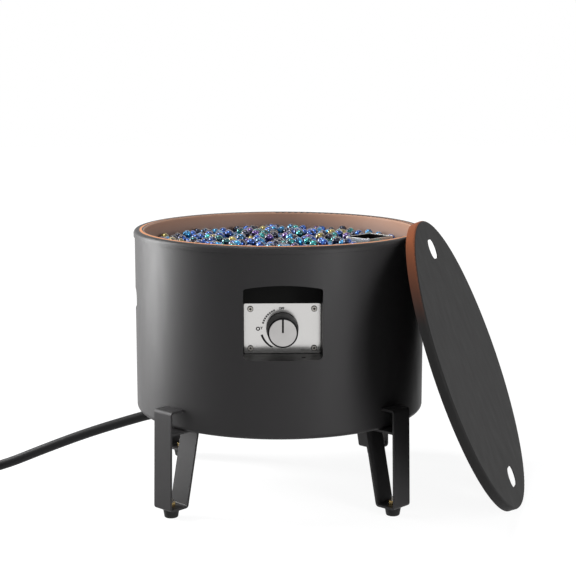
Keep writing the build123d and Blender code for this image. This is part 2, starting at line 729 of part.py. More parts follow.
def make_valve_plug():
    """Turning plug with a square socket for the stem and a slot for the gas."""
    plug = rod(PLUG_R, (0, PLUG_Y, KNOB_Z), (0, PLUG_REAR_Y, KNOB_Z))
    half = SOCKET_SQUARE / 2
    plug -= slab((-half, PLUG_Y, KNOB_Z - half), (half, SOCKET_Y, KNOB_Z + half))
    start, end = (0, VALVE_MIDDLE_Y - PORT_R, KNOB_Z), (0, VALVE_MIDDLE_Y + PORT_R, KNOB_Z)
    return plug - pipe(PLUG_R, PLUG_R - PLUG_GROOVE, start, end)


def make_valve_stem():
    """Stem from the knob's hub to its square end in the plug."""
    shoulder = (0, BOX_REAR_Y + STEM_SHOULDER, KNOB_Z)
    stem = rod(STEM_R, (0, KNOB_INSIDE_Y + 2 * FIT, KNOB_Z), shoulder)
    half = STEM_SQUARE / 2
    return stem + slab((-half, shoulder[1], KNOB_Z - half), (half, STEM_TIP_Y, KNOB_Z + half))


def make_stem_spring():
    """Return spring of the stem, as the sleeve that it fills in the plug with the knob pressed."""
    half = SOCKET_SQUARE / 2 - RUNNING_FIT
    front = STEM_TIP_Y + KNOB_TRAVEL + FIT
    return pipe(half, half / 2, (0, front, KNOB_Z), (0, SOCKET_Y, KNOB_Z))


def make_orifice_elbow():
    """Brass elbow from the rear of the valve up to the jet under the burner."""
    rear, corner = (0, VALVE_REAR_Y, KNOB_Z), (0, -BURNER_R, KNOB_Z)
    jet = (0, -BURNER_R, MIXER_BOTTOM + MIXER_END + ORIFICE_LENGTH)
    shoulder = (0, -BURNER_R, MIXER_BOTTOM + MIXER_END)
    elbow = rod(ELBOW_R, rear, corner) + Pos(*corner) * Sphere(ELBOW_R) + rod(ELBOW_R, corner, shoulder)
    elbow += hexagon(ELBOW_FLATS, rear, (0, VALVE_REAR_Y + ELBOW_R, KNOB_Z))
    elbow += cone(ORIFICE_R, ORIFICE_R / 2, shoulder, jet)
    elbow -= rod(PORT_R, rear, corner)
    elbow -= Pos(*corner) * Sphere(PORT_R)
    elbow -= rod(PORT_R, corner, shoulder)
    return elbow - rod(JET_R, shoulder, jet)


def make_air_mixer():
    """Mixing tube on the burner's spigot, with air slots around the jet."""
    bottom, top = (0, -BURNER_R, MIXER_BOTTOM), (0, -BURNER_R, SPIGOT_BOTTOM + MIXER_GRIP)
    floor, grip = (0, -BURNER_R, MIXER_BOTTOM + MIXER_END), (0, -BURNER_R, SPIGOT_BOTTOM)
    mixer = rod(MIXER_R, bottom, top) - rod(MIXER_R - MIXER_WALL, floor, grip)
    mixer -= rod(SPIGOT_R + SCREW_FIT, grip, top)
    mixer -= rod(ELBOW_R + SCREW_FIT, bottom, floor)
    half = MIXER_R / 3
    slot = slab((0, -half, MIXER_BOTTOM + 2 * MIXER_END), (2 * MIXER_R, half, SHIELD_Z - MIXER_END))
    for cut in around(slot, MIXER_SLOTS, 180 / MIXER_SLOTS):
        mixer -= Pos(0, -BURNER_R, 0) * cut
    return mixer


def burner_body(inset):
    """Ring with rounded top edges, drawn in from the burner's outside by inset all round."""
    half = BURNER_WIDTH / 2 - inset
    low, high = BURNER_BOTTOM + inset, BURNER_TOP - inset
    outline = Pos(BURNER_R, (low + high) / 2) * Rectangle(2 * half, high - low)
    outline = fillet(outline.vertices().group_by(Axis.Y)[-1], BURNER_ROUND - inset)
    return revolve(Plane.XZ * outline, Axis.Z, 360)


def make_burner_ring():
    """Hollow pressed ring with gas ports on top, a collar on the pan and a threaded spigot."""
    collar, seat = (0, -BURNER_R, PAN_FLOOR), (0, -BURNER_R, BURNER_BOTTOM)
    spigot = (0, -BURNER_R, SPIGOT_BOTTOM)
    ring = burner_body(0)
    ring += rod(SPIGOT_COLLAR_R, collar, seat)
    ring += rod(SPIGOT_R, spigot, collar)
    ring -= burner_body(BURNER_WALL)
    ring -= rod(SPIGOT_BORE_R, spigot, (0, -BURNER_R, BURNER_BOTTOM + BURNER_WALL))
    port = rod(BURNER_PORT_R, (BURNER_R, 0, BURNER_TOP - BURNER_WALL), (BURNER_R, 0, BURNER_TOP))
    return ring - around(port, BURNER_PORTS, 180 / BURNER_PORTS)


def make_burner_nut():
    """Nut that clamps the burner's spigot under the pan."""
    start, end = (0, -BURNER_R, BURNER_NUT_Z), (0, -BURNER_R, PAN_UNDERSIDE)
    return hexagon(BURNER_NUT_FLATS, start, end) - rod(SPIGOT_R + SCREW_FIT, start, end)


def make_heat_shield():
    """Plate over the valve, held behind the recess by the two upper plate screws."""
    half = SHIELD_WIDTH / 2
    bottom, top = PANEL_SCREW_ZS[1] - SHIELD_SCREW_MARGIN, SHIELD_Z + SHIELD_SHEET
    flange = slab((-half, BOX_REAR_Y, bottom), (half, BOX_REAR_Y + SHIELD_SHEET, top))
    plate = slab((-half, BOX_REAR_Y, SHIELD_Z), (half, BOX_REAR_Y + SHIELD_REACH, top))
    mixer = rod(MIXER_R + SHIELD_HOLE_GAP, (0, -BURNER_R, MIXER_BOTTOM), (0, -BURNER_R, SPIGOT_BOTTOM))
    return flange + plate - mixer - panel_holes()


# Igniter


def make_igniter_guard():
    """Open sheet box in the glass that keeps it off the igniter."""
    outline = RectangleRounded(GUARD_LENGTH, GUARD_WIDTH, GUARD_BEND)
    length, width = GUARD_LENGTH - 2 * GUARD_SHEET, GUARD_WIDTH - 2 * GUARD_SHEET
    room = RectangleRounded(length, width, GUARD_BEND - GUARD_SHEET)
    guard = extrude(outline, GUARD_HEIGHT) - Pos(0, 0, GUARD_SHEET) * extrude(room, GUARD_HEIGHT)
    return GUARD * guard - igniter_holes()


def make_igniter_bracket():
    """Bent strip in the guard that holds the electrode and the flame sensor."""
    left = ELECTRODE_X - BRACKET_EDGE
    path = [
        (left + BRACKET_SHELF, SHELF_Z),
        (left, SHELF_Z),
        (left, 2 * GUARD_SHEET),
        (left - BRACKET_FOOT, 2 * GUARD_SHEET),
    ]
    section = bent_section(path, GUARD_SHEET, [BRACKET_BEND, BRACKET_BEND])
    bracket = Pos(0, IGNITER_Y, 0) * extrude(section, BRACKET_WIDTH / 2, both=True)
    return GUARD * bracket - igniter_holes()


def upright(across):
    """Ceramic rod through the bracket, the guard's floor and the pan."""
    low = (across, IGNITER_Y, -CERAMIC_BELOW)
    high = (across, IGNITER_Y, SHELF_Z + CERAMIC_ABOVE / 2)
    return rod(CERAMIC_R, low, high)


def make_electrode():
    """Spark electrode: ceramic body with its wire bent towards the guard's wall."""
    top = SHELF_Z + CERAMIC_ABOVE / 2
    start, bend = (ELECTRODE_X, IGNITER_Y, top), (ELECTRODE_X, IGNITER_Y, top + WIRE_LENGTH / 2)
    end = (ELECTRODE_X - WIRE_LENGTH, IGNITER_Y, top + WIRE_LENGTH / 2)
    wire = rod(WIRE_R, start, bend) + Pos(*bend) * Sphere(WIRE_R) + rod(WIRE_R, bend, end)
    return GUARD * (upright(ELECTRODE_X) + wire)


def make_probe():
    """Flame sensor with a rounded tip."""
    top = (PROBE_X, IGNITER_Y, SHELF_Z + CERAMIC_ABOVE / 2)
    return GUARD * (upright(PROBE_X) + Pos(*top) * Sphere(CERAMIC_R))


def igniter_foot(across):
    """Point of the shared frame at the lower end of an electrode or sensor."""
    return (GUARD * Pos(across, IGNITER_Y, -CERAMIC_BELOW)).position


def make_lead(across, bend, port):
    """Lead from an igniter's foot round a bend to a port in the valve's side."""
    foot = igniter_foot(across)
    y, z = VALVE_MIDDLE_Y + port[0], KNOB_Z + port[1]
    mouth = Vector(VALVE_WIDTH / 2 + LEAD_COUPLER, y, z)
    drop = foot - Vector(0, 0, LEAD_DROP)
    points = [foot, drop, bend, mouth + Vector(LEAD_STANDOFF, 0, 0), mouth]
    tube = routed(points, LEAD_R)[0]
    return tube + rod(LEAD_COUPLER_R, mouth, (VALVE_WIDTH / 2, y, z))


# Gas line


def make_feed_tube():
    """Copper tube from the inlet in the base up to the valve."""
    points = [
        (*INLET_PLACE, INLET_TOP),
        (*INLET_PLACE, FEED_Z),
        (0, VALVE_MIDDLE_Y, FEED_Z),
        (0, VALVE_MIDDLE_Y, FEED_END_Z),
    ]
    path = FilletPolyline(*points, radius=FEED_BEND)
    return tube_along(path, FEED_R) - tube_along(path, FEED_R - FEED_WALL)


def make_flare_nut(place, joint_z, side):
    """Flare nut that grips a threaded end on one side of joint_z and the tube on the other."""
    thread_end = (*place, joint_z - side * FLARE_NUT_LENGTH / 2)
    joint = (*place, joint_z)
    tube_end = (*place, joint_z + side * FLARE_NUT_LENGTH / 2)
    nut = hexagon(FLARE_NUT_FLATS, thread_end, tube_end)
    return nut - rod(INLET_R + SCREW_FIT, thread_end, joint) - rod(FEED_R + SCREW_FIT, joint, tube_end)


def make_inlet_elbow():
    """Brass elbow that carries the hose through the base plate."""
    x, y = INLET_PLACE
    corner, mouth = (x, y, INLET_Z), (INLET_START_X, y, INLET_Z)
    elbow = rod(INLET_R, corner, (x, y, INLET_TOP)) + rod(INLET_R, corner, mouth)
    elbow += Pos(*corner) * Sphere(INLET_R)
    elbow += rod(INLET_SHOULDER_R, (x, y, FLANGE_TOP - INLET_SHOULDER), (x, y, FLANGE_TOP))
    elbow -= rod(INLET_BORE_R, corner, (x, y, INLET_TOP))
    elbow -= Pos(*corner) * Sphere(INLET_BORE_R)
    return elbow - rod(INLET_BORE_R, corner, mouth)


def make_inlet_locknut():
    """Locknut of the elbow, on top of the base plate."""
    start, end = (*INLET_PLACE, BASE_TOP), (*INLET_PLACE, BASE_TOP + LOCKNUT_HEIGHT)
    return hexagon(LOCKNUT_FLATS, start, end) - rod(INLET_R + SCREW_FIT, start, end)


def make_sleeve(start, end):
    """Crimped brass sleeve on the end of the hose, with pressed grooves."""
    sleeve = pipe(SLEEVE_R, INLET_BORE_R, start, end)
    axis = (Vector(end) - Vector(start)).normalized()
    for count in range(1, SLEEVE_GROOVES + 1):
        middle = Vector(start) + axis * SLEEVE_LENGTH * count / (SLEEVE_GROOVES + 1)
        low, high = middle - axis * GROOVE_WIDTH / 2, middle + axis * GROOVE_WIDTH / 2
        sleeve -= pipe(SLEEVE_R + FIT, SLEEVE_R - GROOVE_DEPTH, low, high)
    return sleeve


# Hose


def make_hose_run():
    """Free stretch of the hose from the drum down to the floor."""
    tube, path, radii = routed(HOSE_POINTS, HOSE_R)
    print("hose radii:", [round(radius) for radius in radii])
    print("hose volume over section times length:", round(tube.volume / (pi * HOSE_R**2 * path.length), 4))
    return tube


def biarc(start, start_way, end, end_way):
    """Two arcs from one point and direction to another, of equal reach."""
    across = end - start
    both = start_way + end_way
    spread = 2 * (1 - start_way.dot(end_way))
    along = across.dot(both)
    reach = (sqrt(along**2 + spread * across.dot(across)) - along) / spread
    middle = (start + end + (start_way - end_way) * reach) / 2
    middle_way = (middle - start - start_way * reach).normalized()
    return [TangentArc(start, middle, tangent=start_way), TangentArc(middle, end, tangent=middle_way)]


def coil_knots():
    """Points every half turn where the coil crosses its middle line, and the directions there."""
    halves_in, halves_out = round(2 * COIL_TURNS_IN), round(2 * COIL_TURNS_OUT)
    reaches = [COIL_R - COIL_PITCH * half / 2 for half in range(halves_in + 1)]
    reaches += [COIL_INNER_R + COIL_PITCH * half / 2 for half in range(halves_out + 1)]
    heights = [COIL_LOW] * (halves_in + 1) + [COIL_HIGH] * (halves_out + 1)
    knots = []
    for count, (reach, height) in enumerate(zip(reaches, heights)):
        side = 1 if count % 2 == 0 else -1
        knots.append((Vector(COIL_X, COIL_Y + side * reach, height), Vector(-side, 0, 0)))
    return knots


def make_hose_coil():
    """Rest of the hose, coiled in two layers: in along the floor, then out on top of itself."""
    knots = coil_knots()
    arcs = []
    for (start, way), (end, end_way) in zip(knots, knots[1:]):
        arcs += biarc(start, way, end, end_way)
    last, last_way = knots[-1]
    side = Vector(REGULATOR_X, COIL_Y - COIL_PITCH / 4, COIL_HIGH)
    lead_in = Line(Vector(*HOSE_END), knots[0][0])
    lead_out = Line(side, Vector(REGULATOR_X, COIL_END_Y, COIL_HIGH))
    path = Wire([lead_in.edge()] + [arc.edge() for arc in arcs]
                + [TangentArc(last, side, tangent=last_way).edge(), lead_out.edge()])
    coil = tube_along(path, HOSE_R)
    report_coil(coil, path)
    return coil


def report_coil(coil, path):
    """Print the coil's length, the least gap to itself and its volume against its section."""
    step = HOSE_R / 2
    count = int(path.length / step)
    points = [tuple(path.position_at(index / count)) for index in range(count + 1)]
    apart = int(4 * HOSE_R / step)
    gap = min(dist(a, b) for i, a in enumerate(points) for b in points[i + apart:]) - 2 * HOSE_R
    print("coil length:", round(path.length), "least gap to itself:", round(gap, 2))
    print("coil volume over section times length:", round(coil.volume / (pi * HOSE_R**2 * path.length), 4))


# Regulator


def make_regulator_body():
    """Cast body of the regulator, with stubs for the hose and for the tank's nipple."""
    middle = (REGULATOR_X, REGULATOR_Y)
    body = rod(REGULATOR_R, (*middle, REGULATOR_BOTTOM), (*middle, REGULATOR_TOP))
    body = fillet(body.edges().group_by(Axis.Z)[0], REGULATOR_ROUND)
    body += rod(BONNET_R, (*middle, REGULATOR_TOP - BONNET_FLANGE), (*middle, REGULATOR_TOP))
    inlet = (REGULATOR_X, REGULATOR_SLEEVE_Y, COIL_HIGH)
    outlet = (REGULATOR_X, NIPPLE_Y, COIL_HIGH)
    body += rod(STUB_R, outlet, inlet)
    body -= rod(INLET_BORE_R, (REGULATOR_X, REGULATOR_Y + REGULATOR_R / 2, COIL_HIGH), inlet)
    body -= rod(INLET_BORE_R, outlet, (REGULATOR_X, REGULATOR_Y - REGULATOR_R / 2, COIL_HIGH))
    return body - bonnet_screw_holes(REGULATOR_TOP - 2 * BONNET_FLANGE)


def bonnet_screw_holes(bottom):
    """Rods for the holes of the bonnet's screws, from bottom upwards."""
    start, end = (BONNET_SCREW_PLACE, 0, bottom), (BONNET_SCREW_PLACE, 0, BONNET_Z)
    return around_regulator(rod(BONNET_SCREW_R + SCREW_FIT, start, end))


def around_regulator(shape):
    """Copies of a shape at the places of the bonnet's screws."""
    copies = around(shape, BONNET_SCREWS, 180 / BONNET_SCREWS)
    return [Pos(REGULATOR_X, REGULATOR_Y, 0) * copy for copy in copies]


def make_regulator_bonnet():
    """Pressed cover over the regulator's spring, with its flange."""
    middle = (REGULATOR_X, REGULATOR_Y)
    bonnet = rod(BONNET_R, (*middle, REGULATOR_TOP), (*middle, BONNET_Z))
    foot, top = (*middle, BONNET_Z), (*middle, BONNET_Z + BONNET_DOME)
    dome = cone(BONNET_DOME_R, BONNET_DOME_R - BONNET_TAPER, foot, top)
    dome = fillet(dome.edges().group_by(Axis.Z)[-1], BONNET_ROUND)
    return bonnet + dome - bonnet_screw_holes(REGULATOR_TOP)


def make_bonnet_screws():
    """Screws around the bonnet's flange."""
    under_head = (BONNET_SCREW_PLACE, 0, BONNET_Z)
    tip = (BONNET_SCREW_PLACE, 0, REGULATOR_TOP - BONNET_FLANGE)
    screw = pan_head_screw(under_head, tip, BONNET_SCREW_R, BONNET_SCREW_HEAD_R, BONNET_SCREW_HEAD)
    return group(around_regulator(screw))


def make_tank_nipple():
    """Brass nipple with the collar that holds the tank's nut and a nose for the cylinder's seat."""
    x, z = REGULATOR_X, COIL_HIGH
    start, inside = (x, NIPPLE_Y, z), (x, TANK_NUT_Y - TANK_NUT_BACK - FIT, z)
    front = (x, inside[1] - NIPPLE_COLLAR, z)
    nose = (x, TANK_NUT_Y - TANK_NUT_LENGTH + NOSE_INSET, z)
    nipple = rod(NIPPLE_R, start, inside)
    nipple += rod(NIPPLE_R + NIPPLE_COLLAR, inside, front)
    nipple += cone(NIPPLE_R, NIPPLE_R - NOSE_TAPER, front, nose)
    return nipple - rod(INLET_BORE_R, start, nose)


def make_tank_nut():
    """Hand nut for the gas cylinder, with finger scallops around it."""
    x, z = REGULATOR_X, COIL_HIGH
    back, front = (x, TANK_NUT_Y, z), (x, TANK_NUT_Y - TANK_NUT_LENGTH, z)
    inside = (x, TANK_NUT_Y - TANK_NUT_BACK, z)
    nut = rod(TANK_NUT_R, back, front)
    nut = fillet(nut.edges().filter_by(GeomType.CIRCLE), TANK_NUT_ROUND)
    nut -= rod(NIPPLE_R + RUNNING_FIT, back, inside)
    nut -= rod(TANK_THREAD_R, inside, front)
    for count in range(TANK_NUT_SCALLOPS):
        turn = 2 * pi * count / TANK_NUT_SCALLOPS
        reach = TANK_NUT_R + SCALLOP_REACH
        across, height = x + reach * cos(turn), z + reach * sin(turn)
        nut -= rod(SCALLOP_R, (across, back[1], height), (across, front[1], height))
    return nut


# Lid


def rim_radius(height):
    """Outside radius of the rim at a height near its top."""
    over = max(0.0, height - RIM_TOP + RIM_BEND)
    return RIM_R - RIM_BEND + sqrt(RIM_BEND**2 - over**2)


def lid_reach(lean, height):
    """Distance of the leaning lid's middle from the drum's axis.

    Either its inner face or the edge of its skirt touches the rim first.
    """
    rim_reach = (RIM_R - RIM_BEND) * cos(lean) + (RIM_TOP - RIM_BEND) * sin(lean) + RIM_BEND
    reaches = [(rim_reach + FIT + LID_SHEET - height * sin(lean)) / cos(lean)]
    for step in range(LID_TRIES):
        turn = pi * (step / LID_TRIES - 1 / 2)
        upward = (LID_R - LID_SHEET) * cos(turn)
        sideways = (LID_R - LID_SHEET) * sin(turn) + LID_SIDE
        edge_z = height + upward * cos(lean) - LID_DEPTH * sin(lean)
        if RIM_TOP - RIM_LIP < edge_z < RIM_TOP and abs(sideways) < RIM_R - RIM_BEND:
            touch = sqrt(rim_radius(edge_z) ** 2 - sideways**2)
            reaches.append(touch + upward * sin(lean) + LID_DEPTH * cos(lean) + LID_REST_GAP)
    return max(reaches)


def lid_plane():
    """Plane of the lid's outer face: it stands on the floor and leans on the rim."""
    turn, lean = radians(LID_AZIMUTH), radians(LID_LEAN)
    outward = Vector(cos(turn), sin(turn), 0)
    sideways = Vector(-sin(turn), cos(turn), 0)
    normal = outward * cos(lean) + Vector(0, 0, sin(lean))
    upward = Vector(0, 0, cos(lean)) - outward * sin(lean)
    height = LID_R * cos(lean) + LID_DEPTH * sin(lean)
    middle = outward * lid_reach(lean, height) + sideways * LID_SIDE + Vector(0, 0, height)
    return Plane(origin=middle, x_dir=upward, z_dir=normal)


def make_lid():
    """Flat round lid with a short skirt and two finger holes."""
    path = [(LID_R, -LID_DEPTH), (LID_R, 0), (0, 0)]
    lid = revolve(bent_section(path, LID_SHEET, [LID_BEND]), Axis.Z, 360)
    outline = SlotOverall(FINGER_HOLE_LENGTH, 2 * FINGER_HOLE_R, rotation=90)
    slot = Pos(FINGER_HOLE_PLACE, 0, -LID_DEPTH) * extrude(outline, 2 * LID_DEPTH)
    lid -= around(slot, 2, FINGER_HOLE_TURN)
    return lid_plane() * lid


def build():
    """Every node of the object by name."""
    parts = {
        "drum_shell": make_drum_shell(),
        "base_plate": make_base_plate(),
        "burner_pan": make_burner_pan(),
        "glass_bed": make_glass_bed(),
        "burner_ring": make_burner_ring(),
        "burner_nut": make_burner_nut(),
        "air_mixer": make_air_mixer(),
        "orifice_elbow": make_orifice_elbow(),
        "heat_shield": make_heat_shield(),
        "igniter_guard": make_igniter_guard(),
        "igniter_bracket": make_igniter_bracket(),
        "igniter_electrode": make_electrode(),
        "thermocouple_probe": make_probe(),
        "panel_box": make_panel_box(),
        "control_plate": make_control_plate(),
        "panel_screws": make_panel_screws(),
        "valve_screws": make_valve_screws(),
        "valve_body": make_valve_body(),
        "valve_cap": make_valve_cap(),
        "valve_plug": make_valve_plug(),
        "valve_stem": make_valve_stem(),
        "stem_spring": make_stem_spring(),
        "knob": make_knob(),
        "knob_face": make_knob_face(),
        "feed_tube": make_feed_tube(),
        "inlet_elbow": make_inlet_elbow(),
        "inlet_locknut": make_inlet_locknut(),
        "hose_run": make_hose_run(),
        "hose_coil": make_hose_coil(),
        "regulator_body": make_regulator_body(),
        "regulator_bonnet": make_regulator_bonnet(),
        "bonnet_screws": make_bonnet_screws(),
        "tank_nipple": make_tank_nipple(),
        "tank_nut": make_tank_nut(),
        "lid": make_lid(),
    }
    parts["ignition_lead"] = make_lead(ELECTRODE_X, IGNITION_BEND, IGNITION_PORT)
    parts["thermocouple_lead"] = make_lead(PROBE_X, SENSOR_BEND, SENSOR_PORT)
    parts["feed_tube_nuts"] = group([
        make_flare_nut(INLET_PLACE, INLET_TOP, 1),
        make_flare_nut((0, VALVE_MIDDLE_Y), FEED_END_Z, -1),
    ])
    inlet_mouth = (INLET_START_X, INLET_PLACE[1], INLET_Z)
    parts["hose_sleeve"] = make_sleeve(inlet_mouth, HOSE_START)
    coil_end = (REGULATOR_X, COIL_END_Y, COIL_HIGH)
    parts["regulator_sleeve"] = make_sleeve(coil_end, (REGULATOR_X, REGULATOR_SLEEVE_Y, COIL_HIGH))
    for place, angle in LEG_ANGLES.items():
        parts[f"leg_bar_{place}"] = make_leg_bar(angle)
        parts[f"foot_pad_{place}"] = make_foot_pad(angle)
        parts[f"foot_stud_{place}"] = make_foot_stud(angle)
    parts["foot_nuts"] = group(make_foot_nut(angle) for angle in LEG_ANGLES.values())
    parts["leg_screws"] = group(make_leg_screw(angle) for angle in LEG_ANGLES.values())
    parts["leg_nuts"] = group(make_leg_nut(angle) for angle in LEG_ANGLES.values())
    return parts


os.makedirs("parts", exist_ok=True)
for name, shape in build().items():
    export_step(shape, f"parts/{name}.step")
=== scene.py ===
"""Studio picture of a portable propane fire pit, dressed around its CAD frame."""
import logging
import math
import random
from dataclasses import dataclass, replace
from enum import Enum
from typing import Any, Callable, Iterable

import bpy
from mathutils import Matrix, Vector


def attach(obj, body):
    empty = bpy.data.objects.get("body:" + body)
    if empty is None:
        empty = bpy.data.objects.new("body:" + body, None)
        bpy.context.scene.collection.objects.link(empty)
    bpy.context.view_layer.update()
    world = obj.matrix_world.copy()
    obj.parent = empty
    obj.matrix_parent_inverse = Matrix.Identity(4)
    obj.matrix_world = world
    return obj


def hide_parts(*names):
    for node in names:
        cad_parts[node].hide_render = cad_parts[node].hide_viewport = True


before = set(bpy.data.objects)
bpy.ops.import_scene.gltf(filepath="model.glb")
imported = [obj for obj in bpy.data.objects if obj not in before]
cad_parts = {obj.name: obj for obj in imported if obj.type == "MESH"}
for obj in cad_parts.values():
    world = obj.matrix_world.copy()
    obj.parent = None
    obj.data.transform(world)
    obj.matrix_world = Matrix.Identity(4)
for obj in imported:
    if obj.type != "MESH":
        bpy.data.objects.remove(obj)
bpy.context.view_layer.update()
LOG = logging.getLogger("fire_pit")
MM = 0.001
GUARD_MIDDLE = (126.0 * MM, 3.0 * MM)
GUARD_TURN = 45.0

Point = tuple[float, float, float]
Colour = tuple[float, float, float]
Span = tuple[float, float]


class Body(Enum):
    """Rigid body that the new pieces ride on."""

    FRAME = "frame"


# Shared modelling steps


def deselect() -> None:
    """Leave object mode and deselect every object."""
    if bpy.context.object and bpy.context.object.mode != "OBJECT":
        bpy.ops.object.mode_set(mode="OBJECT")
    bpy.ops.object.select_all(action="DESELECT")


def activate(piece: bpy.types.Object) -> None:
    """Make one object the only selected and the active one.

    Args:
        piece: The object to work on.
    """
    deselect()
    piece.select_set(True)
    bpy.context.view_layer.objects.active = piece


def added(name: str) -> bpy.types.Object:
    """Name the object that an operator has just added.

    Args:
        name: Its new name.

    Returns:
        The object, as the only selected one.
    """
    piece = bpy.context.object
    piece.name = name
    piece.data.name = name
    return piece


def settle(piece: bpy.types.Object) -> bpy.types.Object:
    """Apply an object's place, turn and scale to its mesh.

    Args:
        piece: The object.

    Returns:
        The same object, at the origin.
    """
    activate(piece)
    bpy.ops.object.transform_apply(location=True, rotation=True, scale=True)
    return piece


def joined(pieces: Iterable[bpy.types.Object], name: str) -> bpy.types.Object:
    """Join several mesh objects into one.

    Args:
        pieces: The objects, of which the first is kept.
        name: Name of the joined piece.

    Returns:
        The joined object, at the origin.
    """
    pieces = list(pieces)
    activate(pieces[0])
    for piece in pieces:
        piece.select_set(True)
    if len(pieces) > 1:
        bpy.ops.object.join()
    pieces[0].name = name
    pieces[0].data.name = name
    return settle(pieces[0])


def pick(piece: bpy.types.Object, kind: str, test: Callable[[Any], bool]) -> None:
    """Go into edit mode with only some of a piece's elements selected.

    Args:
        piece: The object.
        kind: VERT, EDGE or FACE.
        test: Tells which elements to select.
    """
    activate(piece)
    bpy.ops.object.mode_set(mode="EDIT")
    bpy.ops.mesh.select_mode(type=kind)
    bpy.ops.mesh.select_all(action="DESELECT")
    bpy.ops.object.mode_set(mode="OBJECT")
    elements = {"VERT": piece.data.vertices, "EDGE": piece.data.edges, "FACE": piece.data.polygons}
    for element in elements[kind]:
        element.select = test(element)
    bpy.ops.object.mode_set(mode="EDIT")


def apply_modifiers(piece: bpy.types.Object) -> None:
    """Apply every modifier of a piece in order.

    Args:
        piece: The object.
    """
    activate(piece)
    for modifier in list(piece.modifiers):
        bpy.ops.object.modifier_apply(modifier=modifier.name)


def place(piece: bpy.types.Object, body: Body, material: bpy.types.Material) -> bpy.types.Object:
    """Give a finished piece its material and the body that it rides on.

    Args:
        piece: The finished object.
        body: Body that carries it.
        material: Its Blender material.

    Returns:
        The same object.
    """
    piece.data.materials.clear()
    piece.data.materials.append(material)
    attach(piece, body.value)
    LOG.info("piece %s on %s", piece.name, body.value)
    return piece


def dress(material: bpy.types.Material, nodes: Iterable[str]) -> None:
    """Give CAD nodes a material.

    Args:
        material: The Blender material.
        nodes: Names of the nodes.
    """
    for node in nodes:
        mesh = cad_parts[node].data
        mesh.materials.clear()
        mesh.materials.append(material)
        LOG.info("node %s is %s", node, material.name)


